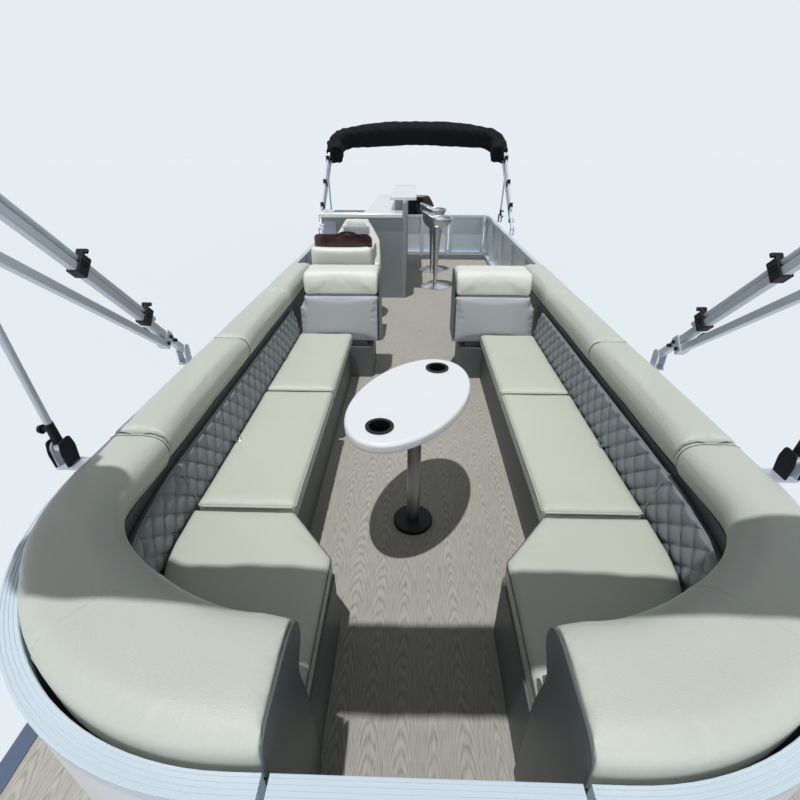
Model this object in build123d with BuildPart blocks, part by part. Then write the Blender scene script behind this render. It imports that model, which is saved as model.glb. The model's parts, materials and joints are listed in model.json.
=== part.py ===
"""Pontoon boat with a lounge at the bow, a bar at the stern and two folded bimini tops.

Millimetres. The origin lies on the centreline at the waterline, amidships.
+X points to port, +Y points aft and +Z points up.
"""

import os
from math import cos, pi, radians, sin, tan

from build123d import *

os.makedirs("parts", exist_ok=True)

# Clearances
seat_gap = 0.3
running_gap = 0.6
working_gap = 5

# Hull and deck
beam = 2590
deck_length = 8530
deck_top = 530
deck_thickness = 22
deck_corner = 240
trim_width = 63
trim_wall = 4
trim_depth = 74
cross_height = 102
cross_width = 45
cross_wall = 5
cross_inset = 55
cross_pitch = 420
cross_count = 20
tube_diameter = 635
tube_spacing = 1920
draught = 255
tube_bow_y = -3250
tube_stern_y = 4000
nose_mid_y = -3760
nose_mid_radius = 250
nose_tip_y = -4130
nose_tip_radius = 70
nose_tip_drop = 30
keel_width = 60
keel_height = 16
keel_side_angle = 70
strake_reach = 34
strake_height = 10
strake_angle = 35
riser_spacing = 220
riser_flange = 60
riser_wall = 6
riser_drop = 60
riser_lap = 1
eye_hole_radius = 13
eye_thickness = 14
eye_reach = 62
eye_height = 70

tube_radius = tube_diameter / 2
tube_x = tube_spacing / 2
tube_z = tube_radius - draught
cross_bottom = deck_top - deck_thickness - cross_height
cross_length = beam - 2 * cross_inset

# Fence
corner_x = 370
corner_y = -3067
fence_inset = 80
rail_width = 45
rail_height = 38
rail_top = 664
low_rail_bottom = 40
upright_width = 38
panel_thickness = 3
bow_gate_half = 285
stern_gate_width = 580
gate_gap = 15
stern_y = 3766
upright_pitch = 757
corner_upright_inset = 4
side_upright_count = 9
stern_upright_x = (-780, -335, 110)
knuckle_radius = 5
knuckle_length = 40
leaf_thickness = 3
leaf_width = 40
knuckle_heights = (120, 500)

fence_outer = beam / 2 - fence_inset - corner_x
rail_inner = fence_outer - rail_width
side_x = corner_x + fence_outer
side_inner_x = side_x - rail_width
bow_y = corner_y - fence_outer
bow_post_x = bow_gate_half + gate_gap

# Lounge
bolster_inset = 50
bolster_width = 285
bolster_bottom = 590
bolster_top = 740
bolster_round = 62
bolster_edge = 30
bolster_seams = (-2868, -1922, -989)
bolster_aft_y = -97
bolster_seam_gap = 2
frame_inset = 60
quilt_inset = 235
quilt_thickness = 60
bench_aft_y = -960
bench_inner_x = 530
bench_front_x = 304
bench_wall = 22
bench_rim = 15
bench_bulkhead_y = -1905
bench_flare_y = (-2896, -3150)
seat_top = 399
seat_thickness = 90
seat_inner_x = 490
seat_front_x = 299
seat_round = 22
seat_flare_y = (-2906, -3138)
seat_mid_aft_y = -1905
seat_aft_end_y = -965
lid_hinge_x = 524
lid_hinge_drop = 6
lid_knuckle_radius = 4.5
lid_knuckle_length = 60
lid_knuckle_inset = 160

seat_bottom = seat_top - seat_thickness
bench_top = seat_bottom - seat_gap
bolster_outer = fence_outer - bolster_inset
bolster_inner = bolster_outer - bolster_width
frame_outer = fence_outer - frame_inset
quilt_outer = fence_outer - quilt_inset
quilt_inner = quilt_outer - quilt_thickness
seat_outer = quilt_inner - working_gap
seat_outer_x = corner_x + seat_outer
bench_rim_x = seat_outer_x - bench_rim
lid_hinge_z = deck_top + seat_bottom - lid_hinge_drop
quilt_top = bolster_bottom - seat_gap

# Recliner backs at the aft end of each bench
recliner_inner_x = 292
recliner_base_x = 348
recliner_base_front_y = -945
recliner_base_back_y = -590
recliner_base_top = 265
recliner_foot_inset = 45
recliner_back_bottom = 304
recliner_seam = 668
recliner_top = 860
recliner_front_low_y = -955
recliner_front_high_y = -888
recliner_back_low_y = -640
recliner_back_high_y = -610
recliner_pillow_back_y = -590
recliner_round = 85
recliner_edge = 25

recliner_outer_x = corner_x + bolster_inner - working_gap
recliner_wide_x = seat_outer_x

# Table
post_x = -16
post_y = -2565
post_diameter = 65
post_foot_diameter = 195
post_foot_height = 22
table_centre = (-32, -2530)
table_long = 816
table_short = 466
table_turn = 65
table_top_height = 722
table_thickness = 48
table_round = 16
table_socket_diameter = 110
table_socket_height = 60
cup_offset = 291
cup_bore = 42
cup_wall = 4
cup_depth = 66
cup_rim_radius = 56
cup_rim_height = 5

# Helm
console_x = (-870, -400)
console_front_y = -200
console_aft_y = 150
console_height = 750
pod_x = (-935, -385)
pod_front_y = -245
pod_aft_y = 190
pod_top = 880
pod_aft_top = 835
pod_corner = 95
pod_edge = 22
screen_height = 118
screen_inset = 16
screen_thickness = 7
screen_depth = 250
screen_cut = 0.42
wheel_centre = (-660, 236, 800)
wheel_tilt = 20
wheel_radius = 165
wheel_grip = 12
wheel_hub_radius = 38
wheel_hub_length = 34
wheel_shaft_radius = 14
wheel_spokes = 3
chair_x = -630
chair_y = 590
chair_foot_radius = 170
chair_foot_height = 14
chair_column_radius = 45
chair_column_top = 400
chair_seat_width = 300
chair_seat_front = 292
chair_seat_back = 135
chair_seat_bottom = 430
chair_seat_top = 545
chair_shell_radius = 256
chair_shell_wall = 98
chair_arm_front = 130
chair_arm_top = 592
chair_back_top = 1000
chair_back_half = 120
chair_shoulder = 800

# Bar
bar_side_gap = 62
bar_board_x = (-160, -119)
bar_front_y = 1270
bar_leg_depth = 355
bar_aft_y = 3367
bar_leg_left_x = -564
bar_body_top = 945
bar_board_top = 1100
bar_riser_x = -259
bar_riser_y = 1600
bar_toe = 60
counter_top = 987
counter_overhang = 24
well_x = (-985, -615)
well_y = (1335, 1560)
well_depth = 130
raised_x = (-320, 0)
raised_y = (1564, 3376)
raised_top = 1139
raised_round = 8

bar_left_x = bar_side_gap - side_inner_x
counter_thickness = counter_top - bar_body_top
raised_thickness = raised_top - bar_board_top

# Stools
stool_places = ((272, 1820), (254, 2722))
stool_names = ("forward", "aft")
stool_foot_radius = 193
stool_foot_edge = 8
stool_foot_rise = 26
stool_rod_radius = 24
stool_rod_top = 560
stool_column_bottom = 165
stool_column_top = 742
stool_column_foot_radius = 33
stool_column_head_radius = 66
stool_column_bore = 24.5
stool_waist_out = 9
stool_waist_rise = 330
stool_bore_depth = 545
stool_seat_radius = 188
stool_seat_wall = 9
stool_bowl_depth = 130
stool_lip_rise = 75
stool_hub_radius = 70
stool_bowl_radius_share = 0.83
stool_bowl_depth_share = 0.42
stool_inner_depth_share = 0.53
stool_inner_walls = 1.6

# Bimini tops, folded in their boots
mount_out = 21
pin_height = 740
leg_width = 32
brace_radius = 12.5
brace_offset = 34
strut_out = 35
strut_radius = 12.5
ear_thickness = 6
ear_gap = 1.5
ear_half = 26
mount_plate = 8
mount_half = 34
pin_radius = 5
pin_overrun = 3
leg_eye_radius = 18
leg_eye_bore = 5.3
eye_relief = 3
boot_drop = 350
boot_bend = 230
boot_width = 215
boot_round = 70
boot_in = 64
strut_place = 1310
second_leg_start = 150
clamp_places = (330, 740, 1180)
clamp_length = 44
clamp_wall = 6

mount_x = side_x + mount_out
strut_x = mount_x + strut_out
boot_x = mount_x - boot_in

# Each top: name, hinge y, direction (-1 forward, 1 aft), elevation, leg length,
# angle between its two legs, boot thickness, strut foot y
bimini_tops = (
    ("bimini_front", -2108, -1, 45, 2020, 6.2, 330, -2982),
    ("bimini_aft", 1839, 1, 38, 1790, 4.5, 270, 2971),
)

# Outboard
steer_rest = 30
transom_overhang = 255
transom_thickness = 66
transom_top = 565
pod_half_width = 340
pod_bottom = -60
pod_bow_y = 3150
pod_bow_rise = 250
pod_bow_run = 450
pod_chine = 60
tilt_reach = 70
tilt_z = 612
tilt_tube_radius = 15
swivel_reach = 75
swivel_outer = 44
swivel_bore = 25.3
swivel_shaft = 25
swivel_low = 190
swivel_high = 606
clamp_inner_x = 92
clamp_ear = 26
clamp_plate = 22
clamp_hook = 120
clamp_depth = 330
clamp_foot = 32
clamp_waist = 46
clamp_waist_drop = 60
clamp_head_drop = 10
clamp_head_reach = 28
clamp_slope = 44
swivel_side_gap = 1
swivel_web_rise = 150
swivel_web_drop = 28
cavitation_z = -125
propeller_z = -330
torpedo_radius = 54
propeller_y = 400
propeller_radius = 178
propeller_hub_length = 105
blade_count = 3
blade_thickness = 9
blade_pitch_angle = 33
blade_middle_share = 0.58
blade_length_share = 0.42
blade_width_share = 0.36
plate_thickness = 12
plate_width = 210
plate_length = 500
plate_middle = 250
plate_corner = 90
strut_half_width = 24
strut_half_length = 130
strut_middle = 200
torpedo_nose = -40
torpedo_shoulder = 140
nose_bulge = 20
nose_bulge_share = 0.7
hub_share = 0.9
hub_taper = 6
skeg_drop = 215
skeg_half_thickness = 6
skeg_lead = 20
skeg_foot = 90
skeg_foot_rise = 10
skeg_trail = 10
yoke_width = 90
yoke_length = 172
yoke_middle = 50
yoke_top_thickness = 45
yoke_low_thickness = 40
yoke_corner = 44
pan_bottom = 660
pan_width = 300
pan_length = 470
pan_corner = 110
pan_middle = 145
cowl_bottom = 765
cowl_top = 1395
cowl_top_round = 55

transom_y = deck_length / 2 + transom_overhang
tilt_y = transom_y + tilt_reach
swivel_y = tilt_y + swivel_reach

# Sections of the motor's leg: height, half width, half length, middle aft of the swivel axis
leg_sections = (
    (cavitation_z, 58, 110, 172),
    (420, 72, 135, 197),
    (pan_bottom, 112, 165, 227),
)

# Sections of the cowl: height, width, length, corner radius, middle aft of the swivel axis
cowl_sections = (
    (cowl_bottom, 370, 600, 130, 140),
    (1120, 440, 690, 160, 150),
    (cowl_top, 300, 450, 130, 105),
)


def above_deck(height):
    """Height above the waterline of a height given above the deck."""
    return deck_top + height


def follow_fence(outer, inner, bow_end_x, aft_end_y):
    """Band that follows the port fence, between two radii about its bow corner.

    It runs from bow_end_x, round the corner, aft to aft_end_y.
    """
    with BuildSketch() as band:
        with BuildLine():
            Line((bow_end_x, corner_y - outer), (corner_x, corner_y - outer))
            CenterArc((corner_x, corner_y), outer, -90, 90)
            Line((corner_x + outer, corner_y), (corner_x + outer, aft_end_y))
            Line((corner_x + outer, aft_end_y), (corner_x + inner, aft_end_y))
            Line((corner_x + inner, aft_end_y), (corner_x + inner, corner_y))
            CenterArc((corner_x, corner_y), inner, -90, 90)
            Line((corner_x, corner_y - inner), (bow_end_x, corner_y - inner))
            Line((bow_end_x, corner_y - inner), (bow_end_x, corner_y - outer))
        make_face()
    return band.sketch


def block(low, high):
    """Box between two corners."""
    size = [high[axis] - low[axis] for axis in range(3)]
    return Box(*size, align=(Align.MIN, Align.MIN, Align.MIN), mode=Mode.PRIVATE).moved(Location(low))


def straight_tube(start, end, width, is_round=False):
    """Tube of one section from start to end: a square one with its sides across the boat, or a round one."""
    run = Vector(*end) - Vector(*start)
    with BuildPart() as tube:
        with BuildSketch(Plane(origin=start, x_dir=(1, 0, 0), z_dir=run)):
            if is_round:
                Circle(width / 2)
            else:
                RectangleRounded(width, width, width / 8)
        extrude(amount=run.length)
    return tube.part


def side_plane(x=0):
    """Plane across the boat's width at x, its own x pointing aft and its own y up."""
    return Plane(origin=(x, 0, 0), x_dir=(0, 1, 0), z_dir=(1, 0, 0))


# Pontoons: a tube, a drawn nose that rises to its tip, a keel strip, two lifting strakes and a tow eye each
nose_rise = tube_radius - nose_mid_radius
tip_z = tube_z + tube_radius - nose_tip_radius - nose_tip_drop
across = {"x_dir": (1, 0, 0), "z_dir": (0, -1, 0)}
with BuildPart() as pontoons:
    with BuildSketch(Plane(origin=(tube_x, tube_stern_y, tube_z), **across)):
        Circle(tube_radius)
    extrude(amount=tube_stern_y - tube_bow_y)
    with BuildSketch(Plane(origin=(tube_x, tube_bow_y, tube_z), **across)):
        Circle(tube_radius)
    with BuildSketch(Plane(origin=(tube_x, nose_mid_y, tube_z + nose_rise), **across)):
        Circle(nose_mid_radius)
    with BuildSketch(Plane(origin=(tube_x, nose_tip_y, tip_z), **across)):
        Circle(nose_tip_radius)
    loft()
    with BuildSketch(Plane(origin=(tube_x, tube_stern_y, -draught), **across)):
        Trapezoid(keel_width, keel_height * 2, keel_side_angle, rotation=180)
    extrude(amount=tube_stern_y - tube_bow_y)
    for side in (-1, 1):
        strake_x = tube_x + side * tube_radius * cos(radians(strake_angle))
        strake_z = tube_z - tube_radius * sin(radians(strake_angle))
        with BuildSketch(Plane(origin=(strake_x, tube_stern_y, strake_z), **across)):
            Rectangle(strake_reach * 2, strake_height)
        extrude(amount=tube_stern_y - tube_bow_y)
    with BuildSketch(side_plane(tube_x - eye_thickness / 2)):
        with Locations((nose_tip_y, tip_z)):
            SlotOverall(eye_reach * 2, eye_height)
        with Locations((nose_tip_y - eye_reach / 2, tip_z)):
            Circle(eye_hole_radius, mode=Mode.SUBTRACT)
    extrude(amount=eye_thickness)
    mirror(about=Plane.YZ)
pontoons.part.label = "pontoons"
export_step(pontoons.part, "parts/pontoons.step")

# Risers: pairs of angles that stand on each tube and carry the cross-members
with BuildPart() as risers:
    for side in (-1, 1):
        riser_x = tube_x + side * riser_spacing / 2
        leg_x = riser_x - side * (riser_flange - riser_wall) / 2
        with BuildSketch(Plane(origin=(0, tube_stern_y, 0), **across)):
            with Locations((riser_x, cross_bottom - seat_gap - riser_wall / 2)):
                Rectangle(riser_flange, riser_wall)
            with Locations((leg_x, cross_bottom - riser_drop / 2 - riser_lap)):
                Rectangle(riser_wall, riser_drop)
            with Locations((tube_x, tube_z)):
                Circle(tube_radius + seat_gap, mode=Mode.SUBTRACT)
        extrude(amount=tube_stern_y - tube_bow_y)
    mirror(about=Plane.YZ)
risers.part.label = "risers"
export_step(risers.part, "parts/risers.step")

# Cross-members: a row of channels under the deck
with BuildPart() as cross_members:
    with BuildSketch(side_plane(-cross_length / 2)):
        with GridLocations(cross_pitch, 1, cross_count, 1):
            with Locations((0, cross_bottom + cross_height / 2)):
                Rectangle(cross_width, cross_height)
                with Locations((cross_wall, 0)):
                    Rectangle(cross_width, cross_height - 2 * cross_wall, mode=Mode.SUBTRACT)
    extrude(amount=cross_length)
cross_members.part.label = "cross_members"
export_step(cross_members.part, "parts/cross_members.step")

# Deck and the channel that trims its edge
deck_inset = trim_wall + seat_gap
with BuildPart() as deck:
    with BuildSketch(Plane.XY.offset(deck_top - deck_thickness)):
        RectangleRounded(beam - 2 * deck_inset, deck_length - 2 * deck_inset, deck_corner - deck_inset)
    extrude(amount=deck_thickness)
deck.part.label = "deck"
export_step(deck.part, "parts/deck.step")

with BuildPart() as deck_trim:
    with BuildSketch(Plane.XY.offset(deck_top - trim_depth)):
        RectangleRounded(beam, deck_length, deck_corner)
    extrude(amount=trim_depth + trim_wall)
    fillet(deck_trim.edges().group_by(Axis.Z)[-1], trim_wall / 2)
    with BuildSketch(Plane.XY.offset(deck_top - trim_depth)):
        RectangleRounded(beam - 2 * trim_wall, deck_length - 2 * trim_wall, deck_corner - trim_wall)
    extrude(amount=trim_depth, mode=Mode.SUBTRACT)
    with BuildSketch(Plane.XY.offset(deck_top)):
        RectangleRounded(beam - 2 * trim_width, deck_length - 2 * trim_width, deck_corner - trim_width)
    extrude(amount=trim_wall, mode=Mode.SUBTRACT)
deck_trim.part.label = "deck_trim"
export_step(deck_trim.part, "parts/deck_trim.step")

# Motor pod: a buoyant box under the stern with the transom behind it
with BuildPart() as motor_pod:
    with BuildSketch(side_plane()):
        with BuildLine():
            Polyline(
                (pod_bow_y, cross_bottom - seat_gap),
                (pod_bow_y, pod_bottom + pod_bow_rise),
                (pod_bow_y + pod_bow_run, pod_bottom),
                (transom_y, pod_bottom),
                (transom_y, transom_top),
                (transom_y - transom_thickness, transom_top),
                (transom_y - transom_thickness, cross_bottom - seat_gap),
                close=True,
            )
        make_face()
    extrude(amount=pod_half_width, both=True)
    chine = motor_pod.edges().filter_by(Axis.Y).group_by(Axis.Z)[0]
    chamfer(chine, pod_chine)
motor_pod.part.label = "motor_pod"
export_step(motor_pod.part, "parts/motor_pod.step")

# Side fences: top and bottom rails round the bow corners, with uprights down to the deck
rail_band = follow_fence(fence_outer, rail_inner, bow_post_x, stern_y)
upright_depth = rail_width - panel_thickness - seat_gap
upright_radius = rail_inner + upright_depth / 2
upright_height = rail_top - rail_height / 2
low_rail_top = low_rail_bottom + rail_height
side_upright = (upright_depth, upright_width, upright_height)
end_upright = (upright_width, upright_depth, upright_height)
stand = (Align.CENTER, Align.CENTER, Align.MIN)
side_upright_ys = [corner_y + upright_pitch * index for index in range(side_upright_count)]
corner_depth = upright_depth - corner_upright_inset
corner_upright = (rail_inner + corner_upright_inset + corner_depth / 2) * sin(radians(45))
with BuildPart() as fence_half:
    for height in (low_rail_bottom, rail_top - rail_height):
        with BuildSketch(Plane.XY.offset(above_deck(height))):
            add(rail_band)
        extrude(amount=rail_height)
    with Locations([(corner_x + upright_radius, y, deck_top) for y in side_upright_ys]):
        Box(*side_upright, align=stand)
    with Locations((corner_x + upright_radius, stern_y - rail_width / 2, deck_top)):
        Box(upright_depth, rail_width, upright_height, align=stand)
    with Locations((bow_post_x + upright_width / 2, corner_y - upright_radius, deck_top)):
        Box(*end_upright, align=stand)
    with Locations(Location((corner_x + corner_upright, corner_y - corner_upright, deck_top), (0, 0, -45))):
        Box(corner_depth, upright_width, upright_height, align=stand)

# Gate hinges: one half on the port fence's posts, the other on the gates
gate_pin = (bow_gate_half + gate_gap / 2, bow_y + rail_width + knuckle_radius)
stern_pin = (side_inner_x - gate_gap / 2, stern_y - rail_width - knuckle_radius)
stern_gate_x = (side_inner_x - gate_gap - stern_gate_width, side_inner_x - gate_gap)


def hinge_half(pin, side, facing, heights):
    """Half of a gate hinge: its leaves lie to one side of the pin in x and face a wall in y."""
    with BuildPart() as half:
        for height in heights:
            with Locations((pin[0], pin[1], above_deck(height))):
                Cylinder(knuckle_radius, knuckle_length, align=stand)
            leaf_x = sorted((pin[0], pin[0] + side * leaf_width))
            wall_y = pin[1] - facing * knuckle_radius
            leaf_y = sorted((wall_y, wall_y + facing * leaf_thickness))
            low = (leaf_x[0], leaf_y[0], above_deck(height))
            add(block(low, (leaf_x[1], leaf_y[1], above_deck(height + knuckle_length))))
    return half.part


bow_fixed_hinge = hinge_half(gate_pin, 1, 1, [h + knuckle_length + seat_gap for h in knuckle_heights])
bow_leaf_hinge = hinge_half(gate_pin, -1, 1, knuckle_heights)
stern_fixed_hinge = hinge_half(stern_pin, 1, -1, [h + knuckle_length + seat_gap for h in knuckle_heights])
stern_leaf_hinge = hinge_half(stern_pin, -1, -1, knuckle_heights)

with BuildPart() as fence_port:
    add(fence_half.part)
    add(bow_fixed_hinge)
    add(stern_fixed_hinge)
fence_port.part.label = "fence_port"
export_step(fence_port.part, "parts/fence_port.step")

with BuildPart() as fence_starboard:
    add(fence_half.part.mirror(Plane.YZ))
fence_starboard.part.label = "fence_starboard"
export_step(fence_starboard.part, "parts/fence_starboard.step")


def gate_leaf(x_range, y_range, skin_end, hinge):
    """Gate: a frame as deep as the rail, its panel on the forward (0) or aft (1) face, and its hinge half."""
    with BuildPart() as gate:
        low = (x_range[0], y_range[0], above_deck(low_rail_bottom))
        add(block(low, (x_range[1], y_range[1], above_deck(rail_top))))
        pocket_y = [y_range[0], y_range[1]]
        pocket_y[skin_end] += panel_thickness if skin_end == 0 else -panel_thickness
        low = (x_range[0] + upright_width, pocket_y[0], above_deck(low_rail_top))
        high = (x_range[1] - upright_width, pocket_y[1], above_deck(rail_top - rail_height))
        add(block(low, high), mode=Mode.SUBTRACT)
        add(hinge)
    return gate.part


bow_gate = gate_leaf((-bow_gate_half, bow_gate_half), (bow_y, bow_y + rail_width), 0, bow_leaf_hinge)
bow_gate.label = "bow_gate"
export_step(bow_gate, "parts/bow_gate.step")

stern_gate = gate_leaf(stern_gate_x, (stern_y - rail_width, stern_y), 1, stern_leaf_hinge)
stern_gate.label = "stern_gate"
export_step(stern_gate, "parts/stern_gate.step")

# Stern fence: the fixed stretch from the starboard corner to the gate
stern_fixed_x = (-side_inner_x, stern_gate_x[0] - gate_gap)
with BuildPart() as fence_stern:
    for height in (low_rail_bottom, rail_top - rail_height):
        low = (stern_fixed_x[0], stern_y - rail_width, above_deck(height))
        add(block(low, (stern_fixed_x[1], stern_y, above_deck(height + rail_height))))
    upright_y = stern_y - rail_width + upright_depth / 2
    upright_xs = stern_upright_x + (stern_fixed_x[1] - upright_width / 2,)
    with Locations([(x, upright_y, deck_top) for x in upright_xs]):
        Box(*end_upright, align=stand)
fence_stern.part.label = "fence_stern"
export_step(fence_stern.part, "parts/fence_stern.step")

# Fence panels: thin skins between the rails, flush with their outer faces
panel_band = follow_fence(fence_outer, fence_outer - panel_thickness, bow_post_x, stern_y)
with BuildPart() as fence_panels:
    with BuildSketch(Plane.XY.offset(above_deck(low_rail_top))):
        add(panel_band)
    extrude(amount=rail_top - rail_height - low_rail_top)
    mirror(about=Plane.YZ)
    low = (stern_fixed_x[0], stern_y - panel_thickness, above_deck(low_rail_top))
    add(block(low, (stern_fixed_x[1], stern_y, above_deck(rail_top - rail_height))))
fence_panels.part.label = "fence_panels"
export_step(fence_panels.part, "parts/fence_panels.step")

# Bench bases: one moulded base a side, its two lockers open under the lids
with BuildPart() as bench_bases:
    with BuildSketch(Plane.XY.offset(deck_top)):
        with BuildLine():
            Line((bench_inner_x, bench_aft_y), (bench_inner_x, bench_flare_y[0]))
            Line((bench_inner_x, bench_flare_y[0]), (bench_front_x, bench_flare_y[1]))
            Line((bench_front_x, bench_flare_y[1]), (bench_front_x, corner_y - quilt_outer))
            Line((bench_front_x, corner_y - quilt_outer), (corner_x, corner_y - quilt_outer))
            CenterArc((corner_x, corner_y), quilt_outer, -90, 90)
            Line((corner_x + quilt_outer, corner_y), (corner_x + quilt_outer, bench_aft_y))
            Line((corner_x + quilt_outer, bench_aft_y), (bench_inner_x, bench_aft_y))
        make_face()
    extrude(amount=bench_top)
    locker_ends = (
        (seat_flare_y[0] + bench_wall, bench_bulkhead_y - bench_wall / 2),
        (bench_bulkhead_y + bench_wall / 2, bench_aft_y - bench_wall),
    )
    for bow_end, aft_end in locker_ends:
        low = (bench_inner_x + bench_wall, bow_end, above_deck(bench_wall))
        add(block(low, (bench_rim_x, aft_end, above_deck(bench_top))), mode=Mode.SUBTRACT)
        for end, inward in ((bow_end, 1), (aft_end, -1)):
            start = end + inward * lid_knuckle_inset
            with Locations(Location((lid_hinge_x, start, lid_hinge_z), (-90 * inward, 0, 0))):
                Cylinder(lid_knuckle_radius, lid_knuckle_length, align=stand)
            low_y, high_y = sorted((start, start + inward * lid_knuckle_length))
            low = (lid_hinge_x, low_y, lid_hinge_z - lid_knuckle_radius)
            add(block(low, (bench_inner_x, high_y, lid_hinge_z)))
    mirror(about=Plane.YZ)
bench_bases.part.label = "bench_bases"
export_step(bench_bases.part, "parts/bench_bases.step")

# Seat lids: hinged along the aisle, one pair a side, and the fixed cushions at the bow
lid_ends = (
    ("mid", seat_flare_y[0] + working_gap, seat_mid_aft_y - working_gap / 2),
    ("aft", seat_mid_aft_y + working_gap / 2, seat_aft_end_y),
)
for place, bow_end, aft_end in lid_ends:
    with BuildPart() as seat:
        with BuildSketch(Plane.XY.offset(above_deck(seat_bottom))):
            with Locations(((seat_inner_x + seat_outer_x) / 2, (bow_end + aft_end) / 2)):
                RectangleRounded(seat_outer_x - seat_inner_x, aft_end - bow_end, seat_round)
        extrude(amount=seat_thickness)
        fillet(seat.edges().group_by(Axis.Z)[-1], seat_round)
        for end, inward in ((bow_end, 1), (aft_end, -1)):
            start = end + inward * (lid_knuckle_inset + lid_knuckle_length + working_gap + bench_wall)
            low_y, high_y = sorted((start, start + inward * lid_knuckle_length))
            with Locations(Location((lid_hinge_x, low_y, lid_hinge_z), (-90, 0, 0))):
                Cylinder(lid_knuckle_radius, lid_knuckle_length, align=stand)
            low = (lid_hinge_x - lid_knuckle_radius, low_y, lid_hinge_z)
            add(block(low, (lid_hinge_x, high_y, above_deck(seat_bottom + seat_gap))))
    port_seat = seat.part
    port_seat.label = f"seat_{place}_port"
    export_step(port_seat, f"parts/seat_{place}_port.step")
    starboard_seat = seat.part.mirror(Plane.YZ)
    starboard_seat.label = f"seat_{place}_starboard"
    export_step(starboard_seat, f"parts/seat_{place}_starboard.step")

with BuildPart() as seats_bow:
    with BuildSketch(Plane.XY.offset(above_deck(seat_bottom))):
        with BuildLine():
            Line((seat_outer_x, seat_flare_y[0]), (seat_inner_x, seat_flare_y[0]))
            Line((seat_inner_x, seat_flare_y[0]), (seat_front_x, seat_flare_y[1]))
            Line((seat_front_x, seat_flare_y[1]), (seat_front_x, corner_y - seat_outer))
            Line((seat_front_x, corner_y - seat_outer), (corner_x, corner_y - seat_outer))
            CenterArc((corner_x, corner_y), seat_outer, -90, 90)
            Line((seat_outer_x, corner_y), (seat_outer_x, seat_flare_y[0]))
        make_face()
    extrude(amount=seat_thickness)
    fillet(seats_bow.edges().group_by(Axis.Z)[-1], seat_round)
    mirror(about=Plane.YZ)
seats_bow.part.label = "seats_bow"
export_step(seats_bow.part, "parts/seats_bow.step")

# Backrests: a moulded frame, the quilted back against it and the bolsters that cap both
frame_band = follow_fence(frame_outer, quilt_outer + seat_gap, bench_front_x, bolster_aft_y)
with BuildPart() as backrest_frames:
    with BuildSketch(Plane.XY.offset(deck_top)):
        add(frame_band)
    extrude(amount=quilt_top)
    mirror(about=Plane.YZ)
backrest_frames.part.label = "backrest_frames"
export_step(backrest_frames.part, "parts/backrest_frames.step")

quilt_band = follow_fence(quilt_outer, quilt_inner, bench_front_x, bench_aft_y)
with BuildPart() as quilted_backs:
    with BuildSketch(Plane.XY.offset(above_deck(seat_bottom))):
        add(quilt_band)
    extrude(amount=quilt_top - seat_bottom)
    mirror(about=Plane.YZ)
quilted_backs.part.label = "quilted_backs"
export_step(quilted_backs.part, "parts/quilted_backs.step")


def bolster_section(plane):
    """Section of a bolster: flat beneath, rolled over at its inner edge."""
    with BuildSketch(plane) as section:
        with BuildLine():
            Polyline(
                (bolster_inner, bolster_bottom),
                (bolster_outer, bolster_bottom),
                (bolster_outer, bolster_top),
                (bolster_inner, bolster_top),
                close=True,
            )
        make_face()
        inner_top = section.vertices().group_by(Axis.X)[0].sort_by(Axis.Z)[-1]
        fillet(inner_top, bolster_round)
        fillet(section.vertices().group_by(Axis.X)[-1], bolster_edge)
    return section.sketch


def side_bolster(bow_end, aft_end):
    """Straight bolster between two seams."""
    section = bolster_section(Plane(origin=(corner_x, aft_end, deck_top), x_dir=(1, 0, 0), z_dir=(0, -1, 0)))
    with BuildPart() as bolster:
        extrude(section, amount=aft_end - bow_end)
    return bolster.part


corner_centre = (corner_x, corner_y, deck_top)
corner_section = bolster_section(Plane(origin=corner_centre, x_dir=(1, 0, 0), z_dir=(0, -1, 0)))
bow_section = bolster_section(Plane(origin=corner_centre, x_dir=(0, -1, 0), z_dir=(-1, 0, 0)))
with BuildPart() as bolsters:
    revolve(corner_section, axis=Axis((corner_x, corner_y, 0), (0, 0, -1)), revolution_arc=90)
    extrude(bow_section, amount=corner_x - seat_front_x)
    add(side_bolster(corner_y, bolster_seams[0] - bolster_seam_gap))
    for bow_end, aft_end in zip(bolster_seams, bolster_seams[1:] + (bolster_aft_y,)):
        add(side_bolster(bow_end, aft_end - (bolster_seam_gap if aft_end != bolster_aft_y else 0)))
    mirror(about=Plane.YZ)
bolsters.part.label = "bolsters"
export_step(bolsters.part, "parts/bolsters.step")

# Recliners: a base box on a recessed foot, the grey back and the pillow that caps it
with BuildPart() as recliner_bases:
    low = (recliner_base_x, recliner_base_front_y, deck_top)
    add(block(low, (recliner_wide_x, recliner_base_back_y, above_deck(recliner_base_top))))
    fillet(recliner_bases.edges().filter_by(Axis.Z), recliner_edge)
    foot = recliner_foot_inset
    low = (recliner_base_x + foot, recliner_base_front_y + foot, above_deck(recliner_base_top))
    foot_top = above_deck(recliner_back_bottom - seat_gap)
    add(block(low, (recliner_wide_x - foot, recliner_back_low_y - foot / 2, foot_top)))
    mirror(about=Plane.YZ)
recliner_bases.part.label = "recliner_bases"
export_step(recliner_bases.part, "parts/recliner_bases.step")

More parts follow.
